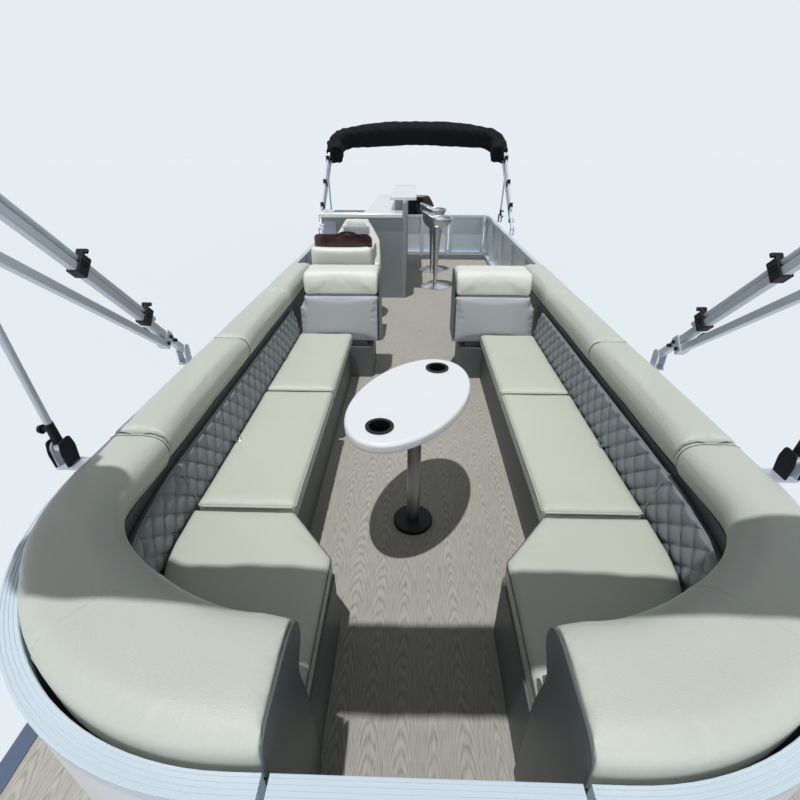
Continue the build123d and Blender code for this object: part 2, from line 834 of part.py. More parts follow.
with BuildPart() as recliner_backs:
    with BuildSketch(side_plane(recliner_inner_x)):
        with BuildLine():
            Polyline(
                (recliner_front_low_y, above_deck(recliner_back_bottom)),
                (recliner_front_high_y, above_deck(recliner_seam)),
                (recliner_back_high_y, above_deck(recliner_seam)),
                (recliner_back_low_y, above_deck(recliner_back_bottom)),
                close=True,
            )
        make_face()
    extrude(amount=recliner_wide_x - recliner_inner_x)
    high_band = above_deck(bolster_bottom - working_gap)
    low = (recliner_outer_x, recliner_front_low_y, high_band)
    add(block(low, (recliner_wide_x, recliner_back_high_y, above_deck(recliner_seam))), mode=Mode.SUBTRACT)
    fillet(recliner_backs.edges().filter_by(Axis.X).group_by(Axis.Z)[0], recliner_edge)
    mirror(about=Plane.YZ)
recliner_backs.part.label = "recliner_backs"
export_step(recliner_backs.part, "parts/recliner_backs.step")

with BuildPart() as recliner_pillows:
    low = (recliner_inner_x, recliner_front_high_y, above_deck(recliner_seam + seat_gap))
    add(block(low, (recliner_outer_x, recliner_pillow_back_y, above_deck(recliner_top))))
    long_edges = recliner_pillows.edges().filter_by(Axis.X)
    fillet(long_edges.group_by(Axis.Z)[-1], recliner_round)
    fillet(recliner_pillows.edges().filter_by(Axis.X).group_by(Axis.Z)[0], recliner_edge)
    mirror(about=Plane.YZ)
recliner_pillows.part.label = "recliner_pillows"
export_step(recliner_pillows.part, "parts/recliner_pillows.step")

# Table: a foot and a post, with a turned socket under the oval top and two cup holders through it
table_underside = above_deck(table_top_height - table_thickness)
with BuildPart() as table_foot:
    with Locations((post_x, post_y, deck_top)):
        Cylinder(post_foot_diameter / 2, post_foot_height, align=stand)
    fillet(table_foot.edges().group_by(Axis.Z)[-1], post_foot_height / 3)
    with Locations((post_x, post_y, deck_top)):
        Cylinder(post_diameter / 2 + seat_gap, post_foot_height, align=stand, mode=Mode.SUBTRACT)
table_foot.part.label = "table_foot"
export_step(table_foot.part, "parts/table_foot.step")

socket_base = table_underside - table_socket_height
with BuildPart() as table_post:
    with Locations((post_x, post_y, deck_top)):
        Cylinder(post_diameter / 2, table_underside - seat_gap - deck_top, align=stand)
    with Locations((post_x, post_y, socket_base)):
        Cone(post_diameter / 2, table_socket_diameter / 2, table_socket_height - seat_gap, align=stand)
table_post.part.label = "table_post"
export_step(table_post.part, "parts/table_post.step")

cup_places = [
    (
        table_centre[0] + end * cup_offset * cos(radians(table_turn)),
        table_centre[1] + end * cup_offset * sin(radians(table_turn)),
    )
    for end in (-1, 1)
]
cup_outer = cup_bore + cup_wall
with BuildPart() as table_top:
    with BuildSketch(Plane.XY.offset(table_underside)):
        with Locations(table_centre):
            Ellipse(table_long / 2, table_short / 2, rotation=table_turn)
    extrude(amount=table_thickness)
    fillet(table_top.edges(), table_round)
    with Locations([(x, y, table_underside) for x, y in cup_places]):
        Cylinder(cup_outer + seat_gap, table_thickness, align=stand, mode=Mode.SUBTRACT)
table_top.part.label = "table_top"
export_step(table_top.part, "parts/table_top.step")

with BuildPart() as cup_holders:
    with Locations([(x, y, above_deck(table_top_height) + seat_gap) for x, y in cup_places]):
        Cylinder(cup_rim_radius, cup_rim_height, align=stand)
        Cylinder(cup_outer, cup_depth, align=(Align.CENTER, Align.CENTER, Align.MAX))
    with Locations([(x, y, above_deck(table_top_height) + cup_rim_height + seat_gap) for x, y in cup_places]):
        Cylinder(cup_bore, cup_depth, align=(Align.CENTER, Align.CENTER, Align.MAX), mode=Mode.SUBTRACT)
cup_holders.part.label = "cup_holders"
export_step(cup_holders.part, "parts/cup_holders.step")

# Helm console: a narrow body with a wider moulded pod on top
with BuildPart() as console:
    low = (console_x[0], console_front_y, deck_top)
    add(block(low, (console_x[1], console_aft_y, above_deck(console_height))))
    fillet(console.edges().filter_by(Axis.Z), pod_edge)
    with BuildSketch(side_plane(pod_x[0])):
        with BuildLine():
            Polyline(
                (pod_front_y, above_deck(console_height)),
                (pod_front_y, above_deck(pod_aft_top)),
                (pod_front_y + pod_corner / 2, above_deck(pod_top)),
                (pod_aft_y - pod_corner, above_deck(pod_top)),
                (pod_aft_y, above_deck(pod_aft_top)),
                (pod_aft_y, above_deck(console_height)),
                close=True,
            )
        make_face()
    extrude(amount=pod_x[1] - pod_x[0])
    pod_corners = console.edges().filter_by(Axis.Z).group_by(Axis.Y)[0]
    fillet(pod_corners, pod_corner)
    fillet(console.faces().sort_by(Axis.Z)[-1].edges(), pod_edge / 2)
console.part.label = "console"
export_step(console.part, "parts/console.step")

screen_x = (pod_x[0] + screen_inset, pod_x[1] - screen_inset)
screen_mid_x = (screen_x[0] + screen_x[1]) / 2
screen_width = screen_x[1] - screen_x[0]
screen_front_y = pod_front_y + pod_corner / 2 + screen_inset
screen_start = Plane(origin=(screen_mid_x, screen_front_y + screen_depth / 2, above_deck(pod_top) + seat_gap))
with BuildPart() as windscreen:
    with BuildSketch(screen_start):
        RectangleRounded(screen_width, screen_depth, pod_corner)
        inner_width = screen_width - 2 * screen_thickness
        inner_depth = screen_depth - 2 * screen_thickness
        RectangleRounded(inner_width, inner_depth, pod_corner - screen_thickness, mode=Mode.SUBTRACT)
        with Locations((0, screen_depth * screen_cut)):
            Rectangle(screen_width, screen_depth, mode=Mode.SUBTRACT)
    extrude(amount=screen_height)
windscreen.part.label = "windscreen"
export_step(windscreen.part, "parts/windscreen.step")

# Steering wheel: a gripped ring on three spokes, its shaft seated in the pod
wheel_axis = (0, cos(radians(wheel_tilt)), sin(radians(wheel_tilt)))
wheel_at = Vector(wheel_centre[0], wheel_centre[1], above_deck(wheel_centre[2]))
wheel_plane = Plane(origin=wheel_at, x_dir=(1, 0, 0), z_dir=wheel_axis)
shaft_length = (wheel_centre[1] - pod_aft_y) / cos(radians(wheel_tilt)) - working_gap
with BuildPart() as steering_wheel:
    add(Torus(wheel_radius, wheel_grip, mode=Mode.PRIVATE).moved(wheel_plane.location))
    with BuildSketch(wheel_plane.offset(-wheel_hub_length / 2)):
        Circle(wheel_hub_radius)
    extrude(amount=wheel_hub_length)
    with BuildSketch(wheel_plane.offset(-wheel_grip / 3)):
        with PolarLocations(wheel_radius / 2, wheel_spokes, start_angle=90):
            Rectangle(wheel_radius, wheel_grip * 2)
    extrude(amount=wheel_grip * 2 / 3)
    with BuildSketch(wheel_plane.offset(-wheel_hub_length / 2)):
        Circle(wheel_shaft_radius)
    extrude(amount=-(shaft_length - wheel_hub_length / 2 - wheel_shaft_radius / 2))
steering_wheel.part.label = "steering_wheel"
export_step(steering_wheel.part, "parts/steering_wheel.step")

# Captain's chair: a pedestal, a seat that swivels on it and a horseshoe shell of back and arms
with BuildPart() as chair_pedestal:
    with Locations((chair_x, chair_y, deck_top)):
        Cylinder(chair_foot_radius, chair_foot_height, align=stand)
        Cylinder(chair_column_radius, chair_column_top, align=stand)
    fillet(chair_pedestal.edges().filter_by(GeomType.CIRCLE).sort_by(Axis.Z)[1], chair_foot_height / 3)
chair_pedestal.part.label = "chair_pedestal"
export_step(chair_pedestal.part, "parts/chair_pedestal.step")

seat_mid_y = chair_y + (chair_seat_back - chair_seat_front) / 2
with BuildPart() as chair_seat:
    with Locations((chair_x, chair_y, above_deck(chair_column_top) + seat_gap)):
        Cylinder(chair_column_radius * 2, chair_seat_bottom - chair_column_top, align=stand)
    with BuildSketch(Plane.XY.offset(above_deck(chair_seat_bottom))):
        with Locations((chair_x, seat_mid_y)):
            RectangleRounded(chair_seat_width, chair_seat_front + chair_seat_back, seat_round * 3)
    extrude(amount=chair_seat_top - chair_seat_bottom)
    fillet(chair_seat.edges().group_by(Axis.Z)[-1], seat_round * 1.5)
chair_seat.part.label = "chair_seat"
export_step(chair_seat.part, "parts/chair_seat.step")

shell_inner = chair_shell_radius - chair_shell_wall
with BuildPart() as chair_back:
    with BuildSketch(Plane.XY.offset(above_deck(chair_seat_bottom))):
        with Locations((chair_x, chair_y)):
            Circle(chair_shell_radius)
            Circle(shell_inner, mode=Mode.SUBTRACT)
        with Locations((chair_x, chair_y - chair_arm_front - chair_shell_radius)):
            Rectangle(4 * chair_shell_radius, 2 * chair_shell_radius, mode=Mode.SUBTRACT)
    extrude(amount=chair_back_top - chair_seat_bottom)
    with BuildSketch(side_plane(chair_x)):
        with BuildLine():
            Polyline(
                (chair_y - chair_shell_radius, above_deck(chair_arm_top)),
                (chair_y - chair_arm_front / 2, above_deck(chair_arm_top)),
                (chair_y + chair_arm_front, above_deck(chair_back_top)),
                (chair_y - chair_shell_radius, above_deck(chair_back_top)),
                close=True,
            )
        make_face()
    extrude(amount=chair_shell_radius, both=True, mode=Mode.SUBTRACT)
    with BuildSketch(Plane(origin=(chair_x, chair_y, 0), x_dir=(1, 0, 0), z_dir=(0, -1, 0))):
        for side in (-1, 1):
            with BuildLine():
                Polyline(
                    (side * chair_back_half, above_deck(chair_back_top)),
                    (side * chair_shell_radius, above_deck(chair_shoulder)),
                    (side * chair_shell_radius, above_deck(chair_back_top)),
                    close=True,
                )
            make_face()
    extrude(amount=chair_shell_radius, both=True, mode=Mode.SUBTRACT)
    seat_half = chair_seat_width / 2 + seat_gap
    low = (chair_x - seat_half, chair_y - chair_shell_radius, above_deck(chair_seat_bottom))
    high = (chair_x + seat_half, chair_y + chair_seat_back + seat_gap, above_deck(chair_seat_top))
    add(block(low, high), mode=Mode.SUBTRACT)
chair_back.part.label = "chair_back"
export_step(chair_back.part, "parts/chair_back.step")

# Bar: an L-shaped cabinet with a recessed toe, an inboard board and a riser for the raised top
bar_right_x = bar_board_x[0]
well_low = (well_x[0], well_y[0], above_deck(counter_top - well_depth))
well_high = (well_x[1], well_y[1], above_deck(counter_top))
with BuildPart() as bar_cabinet:
    with BuildSketch(Plane.XY.offset(deck_top)):
        with BuildLine():
            Polyline(
                (bar_left_x, bar_front_y),
                (bar_right_x, bar_front_y),
                (bar_right_x, bar_aft_y),
                (bar_leg_left_x, bar_aft_y),
                (bar_leg_left_x, bar_front_y + bar_leg_depth),
                (bar_left_x, bar_front_y + bar_leg_depth),
                close=True,
            )
        make_face()
    extrude(amount=bar_body_top)
    add(block(well_low, well_high), mode=Mode.SUBTRACT)
    toe_low = (bar_leg_left_x, bar_front_y + bar_leg_depth, deck_top)
    add(block(toe_low, (bar_leg_left_x + bar_toe, bar_aft_y, above_deck(bar_toe))), mode=Mode.SUBTRACT)
    riser_low = (bar_riser_x, bar_riser_y, above_deck(bar_body_top))
    add(block(riser_low, (bar_right_x, bar_aft_y, above_deck(bar_board_top))))
bar_cabinet.part.label = "bar_cabinet"
export_step(bar_cabinet.part, "parts/bar_cabinet.step")

with BuildPart() as bar_board:
    low = (bar_board_x[0], bar_front_y, deck_top)
    add(block(low, (bar_board_x[1], bar_aft_y, above_deck(bar_board_top))))
bar_board.part.label = "bar_board"
export_step(bar_board.part, "parts/bar_board.step")

over = counter_overhang
with BuildPart() as bar_counter:
    with BuildSketch(Plane.XY.offset(above_deck(bar_body_top))):
        with BuildLine():
            Polyline(
                (bar_left_x - over, bar_front_y - over),
                (bar_right_x, bar_front_y - over),
                (bar_right_x, bar_riser_y),
                (bar_riser_x, bar_riser_y),
                (bar_riser_x, bar_aft_y),
                (bar_leg_left_x - over, bar_aft_y),
                (bar_leg_left_x - over, bar_front_y + bar_leg_depth + over),
                (bar_left_x - over, bar_front_y + bar_leg_depth + over),
                close=True,
            )
        make_face()
    extrude(amount=counter_thickness)
    add(block(well_low, well_high), mode=Mode.SUBTRACT)
    chamfer(bar_counter.edges().filter_by(Axis.X).group_by(Axis.Y)[0], raised_round / 2)
bar_counter.part.label = "bar_counter"
export_step(bar_counter.part, "parts/bar_counter.step")

with BuildPart() as bar_raised_top:
    low = (raised_x[0], raised_y[0], above_deck(bar_board_top))
    add(block(low, (raised_x[1], raised_y[1], above_deck(raised_top))))
    fillet(bar_raised_top.edges().filter_by(Axis.Z), raised_round * 2)
    fillet(bar_raised_top.edges().group_by(Axis.Z)[-1], raised_round)
bar_raised_top.part.label = "bar_raised_top"
export_step(bar_raised_top.part, "parts/bar_raised_top.step")

# Stools: a foot with the lift's rod, a trumpet column that rides on the rod and a bucket seat
with BuildPart() as stool_stands:
    with Locations([(x, y, deck_top) for x, y in stool_places]):
        Cylinder(stool_foot_radius, stool_foot_edge, align=stand)
        with Locations((0, 0, stool_foot_edge)):
            Cone(stool_foot_radius, stool_rod_radius, stool_foot_rise, align=stand)
        Cylinder(stool_rod_radius, stool_rod_top, align=stand)
stool_stands.part.label = "stool_stands"
export_step(stool_stands.part, "parts/stool_stands.step")

seat_top_height = stool_column_top + seat_gap
for name, (stool_x, stool_y) in zip(stool_names, stool_places):
    upright_half = Plane(origin=(stool_x, stool_y, deck_top), x_dir=(1, 0, 0), z_dir=(0, -1, 0))
    stool_axis = Axis((stool_x, stool_y, 0), (0, 0, 1))
    with BuildPart() as column:
        with BuildSketch(upright_half):
            with BuildLine():
                foot = (stool_column_foot_radius, stool_column_bottom)
                head = (stool_column_head_radius, stool_column_top)
                Line((0, stool_column_bottom), foot)
                waist = (stool_column_foot_radius + stool_waist_out, stool_column_bottom + stool_waist_rise)
                ThreePointArc(foot, waist, head)
                Line(head, (0, stool_column_top))
                Line((0, stool_column_top), (0, stool_column_bottom))
            make_face()
        revolve(axis=stool_axis)
        with Locations((stool_x, stool_y, above_deck(stool_column_bottom))):
            Cylinder(stool_column_bore, stool_bore_depth, align=stand, mode=Mode.SUBTRACT)
    column.part.label = f"stool_column_{name}"
    export_step(column.part, f"parts/stool_column_{name}.step")

    with BuildPart() as bucket:
        with BuildSketch(upright_half):
            with BuildLine():
                hub = (stool_hub_radius, seat_top_height)
                lip = (stool_seat_radius, seat_top_height + stool_bowl_depth)
                inner_lip = (stool_seat_radius - stool_seat_wall, seat_top_height + stool_bowl_depth)
                outer_mid = (
                    stool_seat_radius * stool_bowl_radius_share,
                    seat_top_height + stool_bowl_depth * stool_bowl_depth_share,
                )
                inner_mid = (
                    outer_mid[0] - stool_seat_wall * stool_inner_walls,
                    seat_top_height + stool_bowl_depth * stool_inner_depth_share,
                )
                inner_hub = (stool_hub_radius, seat_top_height + stool_seat_wall * 2)
                Line((0, seat_top_height), hub)
                ThreePointArc(hub, outer_mid, lip)
                Line(lip, inner_lip)
                ThreePointArc(inner_lip, inner_mid, inner_hub)
                Line(inner_hub, (0, inner_hub[1]))
                Line((0, inner_hub[1]), (0, seat_top_height))
            make_face()
        revolve(axis=stool_axis)
        lip_z = above_deck(seat_top_height + stool_bowl_depth)
        with BuildSketch(Plane.XY.offset(lip_z)):
            with Locations((stool_x, stool_y)):
                Circle(stool_seat_radius)
                Circle(stool_seat_radius - stool_seat_wall, mode=Mode.SUBTRACT)
                with Locations((stool_seat_radius, 0)):
                    Rectangle(stool_seat_radius * 2, stool_seat_radius * 2, mode=Mode.SUBTRACT)
        extrude(amount=stool_lip_rise)
        with BuildSketch(Plane(origin=(stool_x, stool_y, lip_z), x_dir=(1, 0, 0), z_dir=(0, -1, 0))):
            with BuildLine():
                Polyline(
                    (0, 0),
                    (0, stool_lip_rise),
                    (-stool_seat_radius, stool_lip_rise),
                    close=True,
                )
            make_face()
        extrude(amount=stool_seat_radius, both=True, mode=Mode.SUBTRACT)
    bucket.part.label = f"stool_seat_{name}"
    export_step(bucket.part, f"parts/stool_seat_{name}.step")


def leg_point(top, along, below, x):
    """Point at a distance along a bimini's main leg from its hinge, and a distance below that leg."""
    _, hinge_y, direction, elevation, *_ = top
    rise = sin(radians(elevation))
    run = cos(radians(elevation))
    y = hinge_y + direction * (along * run + below * rise)
    z = above_deck(pin_height) + along * rise - below * run
    return (x, y, z)


def leg_fitting(top, along, below):
    """Plane across a bimini's port leg, its own y pointing to the side above the leg."""
    _, _, direction, elevation, *_ = top
    leg_way = (0, direction * cos(radians(elevation)), sin(radians(elevation)))
    return Plane(origin=leg_point(top, along, below, mount_x), x_dir=(1, 0, 0), z_dir=leg_way)


# Bimini frames: a main and a second leg each side, and the folded brace clipped above the main leg
for top in bimini_tops:
    name, hinge_y, direction, elevation, leg_length, spread, boot_thickness, strut_foot_y = top
    leg_end = leg_length - boot_drop - seat_gap
    second_drop = leg_width + clamp_wall
    second_leg_end = leg_end - leg_width * sin(radians(spread))
    second_end_below = second_drop + (second_leg_end - second_leg_start) * tan(radians(spread))
    strut_top = leg_point(top, strut_place, 0, strut_x)
    with BuildPart() as frame:
        main_start = leg_point(top, 0, 0, mount_x)
        add(straight_tube(main_start, leg_point(top, leg_end, 0, mount_x), leg_width))
        with Locations(Location(main_start, (0, 90, 0))):
            Cylinder(leg_eye_radius, leg_width - eye_relief)
            Cylinder(leg_eye_bore, leg_width * 2, mode=Mode.SUBTRACT)
        second_start = leg_point(top, second_leg_start, second_drop, mount_x)
        add(straight_tube(second_start, leg_point(top, second_leg_end, second_end_below, mount_x), leg_width))
        web_low = leg_fitting(top, second_leg_start, second_drop / 2)
        with BuildSketch(web_low):
            Rectangle(leg_width + 2 * clamp_wall, second_drop + leg_width + 2 * clamp_wall)
        extrude(amount=clamp_length)
        brace_start = leg_point(top, clamp_places[0] - clamp_length, -brace_offset, mount_x)
        brace_end = leg_point(top, clamp_places[-1] + clamp_length * 2, -brace_offset, mount_x)
        add(straight_tube(brace_start, brace_end, brace_radius * 2, is_round=True))
        for place in clamp_places:
            with BuildSketch(leg_fitting(top, place, -brace_offset / 2)):
                Rectangle(leg_width + 2 * clamp_wall, brace_offset + leg_width + clamp_wall)
            extrude(amount=clamp_length)
        with Locations(Location((mount_x + leg_width / 2, strut_top[1], strut_top[2]), (0, 90, 0))):
            Cylinder(strut_radius, strut_x - mount_x - leg_width / 2, align=stand)
        with Locations(Location((strut_x - strut_radius - ear_gap, strut_top[1], strut_top[2]), (0, 90, 0))):
            Cylinder(strut_radius * 2, strut_radius * 4, align=stand, mode=Mode.SUBTRACT)
        with Locations(Location((mount_x, strut_top[1], strut_top[2]), (0, 90, 0))):
            Cylinder(pin_radius, strut_x - mount_x + strut_radius + pin_overrun, align=stand)
        mirror(about=Plane.YZ)
    frame.part.label = f"{name}_frame"
    export_step(frame.part, f"parts/{name}_frame.step")

    strut_foot = (strut_x, strut_foot_y, above_deck(pin_height))
    with BuildPart() as struts:
        add(straight_tube(strut_foot, strut_top, strut_radius * 2, is_round=True))
        for end in (strut_foot, strut_top):
            with Locations(Location(end, (0, 90, 0))):
                Cylinder(leg_eye_radius, strut_radius * 2 - eye_relief)
        with Locations(Location(strut_top, (0, 90, 0))):
            Cylinder(leg_eye_bore, strut_radius * 4, mode=Mode.SUBTRACT)
        mirror(about=Plane.YZ)
    struts.part.label = f"{name}_struts"
    export_step(struts.part, f"parts/{name}_struts.step")

    boot_middle = boot_thickness / 2 - leg_width * 1.2
    hoop_plane = Plane(
        origin=leg_point(top, 0, boot_middle, 0),
        x_dir=(1, 0, 0),
        z_dir=(0, -sin(radians(elevation)), direction * cos(radians(elevation))),
    )
    with BuildPart() as boot:
        with BuildLine(hoop_plane) as hoop:
            FilletPolyline(
                (-boot_x, leg_length - boot_drop),
                (-boot_x, leg_length),
                (boot_x, leg_length),
                (boot_x, leg_length - boot_drop),
                radius=boot_bend,
            )
        with BuildSketch(Plane(origin=hoop.line @ 0, x_dir=hoop_plane.z_dir, z_dir=hoop.line % 0)):
            RectangleRounded(boot_thickness, boot_width, boot_round)
        sweep()
    boot.part.label = f"{name}_boot"
    export_step(boot.part, f"parts/{name}_boot.step")

# Bimini mounts on the top rails: a forked hinge and an open fork for the strut's foot on each side
with BuildPart() as bimini_mounts:
    for top in bimini_tops:
        for fork_x, fork_y, half_leg, has_pin in (
            (mount_x, top[1], leg_width / 2, True),
            (strut_x, top[7], strut_radius, False),
        ):
            ear_inner = half_leg + ear_gap
            ear_outer = ear_inner + ear_thickness
            plate_z = above_deck(rail_top)
            low = (side_inner_x + seat_gap, fork_y - mount_half, plate_z)
            add(block(low, (fork_x + ear_outer, fork_y + mount_half, plate_z + mount_plate)))
            for side in (-1, 1):
                ear_x = sorted((fork_x + side * ear_inner, fork_x + side * ear_outer))
                with BuildSketch(side_plane(ear_x[0])):
                    with Locations((fork_y, (plate_z + above_deck(pin_height)) / 2)):
                        Rectangle(ear_half * 2, pin_height - rail_top)
                    with Locations((fork_y, above_deck(pin_height))):
                        Circle(ear_half)
                extrude(amount=ear_x[1] - ear_x[0])
            if has_pin:
                with Locations(Location((fork_x - ear_outer, fork_y, above_deck(pin_height)), (0, 90, 0))):
                    Cylinder(pin_radius, ear_outer * 2, align=stand)
    mirror(about=Plane.YZ)
bimini_mounts.part.label = "bimini_mounts"
export_step(bimini_mounts.part, "parts/bimini_mounts.step")

# Outboard: the clamp bracket on the transom, then the swivel bracket that tilts in it
clamp_front_y = transom_y - transom_thickness - seat_gap
with BuildPart() as clamp_bracket:
    for side in (-1, 1):
        outline_x = sorted((side * clamp_inner_x, side * (clamp_inner_x + clamp_ear)))
        with BuildSketch(side_plane(outline_x[0])):
            with BuildLine():
                Polyline(
                    (clamp_front_y - clamp_plate, transom_top - clamp_hook),
                    (clamp_front_y, transom_top - clamp_hook),
                    (clamp_front_y, transom_top + seat_gap),
                    (transom_y + seat_gap, transom_top + seat_gap),
                    (transom_y + seat_gap, transom_top - clamp_depth),
                    (transom_y + clamp_foot, transom_top - clamp_depth),
                    (transom_y + clamp_waist, tilt_z - clamp_waist_drop),
                    (tilt_y + clamp_head_reach, tilt_z - clamp_head_drop),
                    (tilt_y + clamp_plate, tilt_z + clamp_plate),
                    (tilt_y - clamp_plate, tilt_z + clamp_plate),
                    (tilt_y - clamp_slope, transom_top + clamp_plate),
                    (clamp_front_y - clamp_plate, transom_top + clamp_plate),
                    close=True,
                )
            make_face()
        extrude(amount=clamp_ear)
    with Locations(Location((-clamp_inner_x, tilt_y, tilt_z), (0, 90, 0))):
        Cylinder(tilt_tube_radius, clamp_inner_x * 2, align=stand)
clamp_bracket.part.label = "clamp_bracket"
export_step(clamp_bracket.part, "parts/clamp_bracket.step")

swivel_half = clamp_inner_x - swivel_side_gap
with BuildPart() as swivel_bracket:
    with Locations((0, swivel_y, swivel_low)):
        Cylinder(swivel_outer, swivel_high - swivel_low, align=stand)
    with Locations(Location((-swivel_half, tilt_y, tilt_z), (0, 90, 0))):
        Cylinder(tilt_tube_radius * 2, swivel_half * 2, align=stand)
    with BuildSketch(side_plane(-swivel_outer)):
        with BuildLine():
            Polyline(
                (tilt_y, swivel_high),
                (swivel_y, swivel_high),
                (swivel_y, swivel_low + swivel_web_rise),
                (tilt_y, tilt_z - swivel_web_drop),
                close=True,
            )
        make_face()
    extrude(amount=swivel_outer * 2)
    with Locations((0, swivel_y, swivel_low)):
        Cylinder(swivel_bore, swivel_high - swivel_low, align=stand, mode=Mode.SUBTRACT)
    with Locations(Location((-swivel_half, tilt_y, tilt_z), (0, 90, 0))):
        Cylinder(tilt_tube_radius + seat_gap, swivel_half * 2, align=stand, mode=Mode.SUBTRACT)
swivel_bracket.part.label = "swivel_bracket"
export_step(swivel_bracket.part, "parts/swivel_bracket.step")

# Everything that steers is drawn straight about the swivel axis, then turned to its angle at rest
motor_turn = Plane(origin=(0, swivel_y, 0), x_dir=(cos(radians(steer_rest)), -sin(radians(steer_rest)), 0))


def motor_plane(height):
    """Level plane of the steered motor, its own y pointing aft along the motor."""
    return motor_turn.offset(height)


motor_side = Plane(origin=motor_turn.origin, x_dir=motor_turn.y_dir, z_dir=motor_turn.x_dir)

hub_radius = torpedo_radius * hub_share
with BuildPart() as outboard_leg:
    for section_pair in zip(leg_sections, leg_sections[1:]):
        for height, half_width, half_length, middle in section_pair:
            with BuildSketch(motor_plane(height)):
                with Locations((0, middle)):
                    Ellipse(half_width, half_length)
        loft()
    with BuildSketch(motor_plane(pan_bottom)):
        with Locations((0, pan_middle)):
            RectangleRounded(pan_width, pan_length, pan_corner)
    extrude(amount=cowl_bottom - seat_gap - pan_bottom)
    for yoke_low, yoke_thickness in (
        (swivel_high + seat_gap, yoke_top_thickness),
        (swivel_low - seat_gap - yoke_low_thickness, yoke_low_thickness),
    ):
        with BuildSketch(motor_plane(yoke_low)):
            with Locations((0, yoke_middle)):
                RectangleRounded(yoke_width, yoke_length, yoke_corner)
        extrude(amount=yoke_thickness)
    with BuildSketch(motor_plane(swivel_low - seat_gap)):
        Circle(swivel_shaft)
    extrude(amount=swivel_high - swivel_low + 2 * seat_gap)
    with BuildSketch(motor_plane(cavitation_z - plate_thickness)):
        with Locations((0, plate_middle)):
            RectangleRounded(plate_width, plate_length, plate_corner)
    extrude(amount=plate_thickness)
    with BuildSketch(motor_plane(propeller_z)):
        with Locations((0, strut_middle)):
            Ellipse(strut_half_width, strut_half_length)
    extrude(amount=cavitation_z - propeller_z)
    with BuildSketch(motor_side):
        with BuildLine():
            nose = (torpedo_nose, propeller_z)
            shoulder = (torpedo_shoulder, propeller_z + torpedo_radius)
            aft_rim = (propeller_y, propeller_z + hub_radius)
            bulge_y = (nose[0] + shoulder[0]) / 2 - nose_bulge
            Spline(nose, (bulge_y, propeller_z + torpedo_radius * nose_bulge_share), shoulder)
            Polyline(shoulder, aft_rim, (propeller_y, propeller_z), nose)
        make_face()
    revolve(axis=Axis(motor_turn.from_local_coords((0, 0, propeller_z)), motor_turn.y_dir))
    with BuildSketch(motor_side):
        with BuildLine():
            Polyline(
                (torpedo_shoulder - skeg_lead, propeller_z),
                (strut_middle, propeller_z - skeg_drop),
                (strut_middle + skeg_foot, propeller_z - skeg_drop + skeg_foot_rise),
                (strut_middle + strut_half_length + skeg_trail, propeller_z),
                close=True,
            )
        make_face()
    extrude(amount=skeg_half_thickness, both=True)
outboard_leg.part.label = "outboard_leg"
export_step(outboard_leg.part, "parts/outboard_leg.step")

with BuildPart() as cowl:
    for height, width, length, corner, middle in cowl_sections:
        with BuildSketch(motor_plane(height)):
            with Locations((0, middle)):
                RectangleRounded(width, length, corner)
    loft()
    fillet(cowl.edges().group_by(Axis.Z)[-1], cowl_top_round)
cowl.part.label = "cowl"
export_step(cowl.part, "parts/cowl.step")

propeller_start = Plane(
    origin=motor_turn.from_local_coords((0, propeller_y + running_gap, propeller_z)),
    x_dir=(0, 0, 1),
    z_dir=motor_turn.y_dir,
)
blade_origin = propeller_start.offset(propeller_hub_length / 2).origin
pitch = radians(blade_pitch_angle)
with BuildPart() as propeller:
    with BuildSketch(propeller_start):
        Circle(hub_radius)
    extrude(amount=propeller_hub_length, taper=hub_taper)
    for blade in range(blade_count):
        turn = 2 * pi * blade / blade_count
        outward = propeller_start.x_dir * cos(turn) + propeller_start.y_dir * sin(turn)
        around = propeller_start.y_dir * cos(turn) - propeller_start.x_dir * sin(turn)
        blade_normal = propeller_start.z_dir * cos(pitch) - around * sin(pitch)
        blade_plane = Plane(origin=blade_origin, x_dir=outward, z_dir=blade_normal)
        with BuildSketch(blade_plane.offset(-blade_thickness / 2)):
            with Locations((propeller_radius * blade_middle_share, 0)):
                Ellipse(propeller_radius * blade_length_share, propeller_radius * blade_width_share)
        extrude(amount=blade_thickness)
propeller.part.label = "propeller"
export_step(propeller.part, "parts/propeller.step")
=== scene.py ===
"""Looks of the pontoon boat: finishes, upholstery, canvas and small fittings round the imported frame.

Metres, in the row frame: +X to port, +Y aft, +Z up, with the waterline at zero.
"""

from __future__ import annotations

import json
import logging
import math
from dataclasses import dataclass
from enum import Enum
from functools import lru_cache
from typing import Union

import bmesh
import bpy
from mathutils import Matrix, Vector

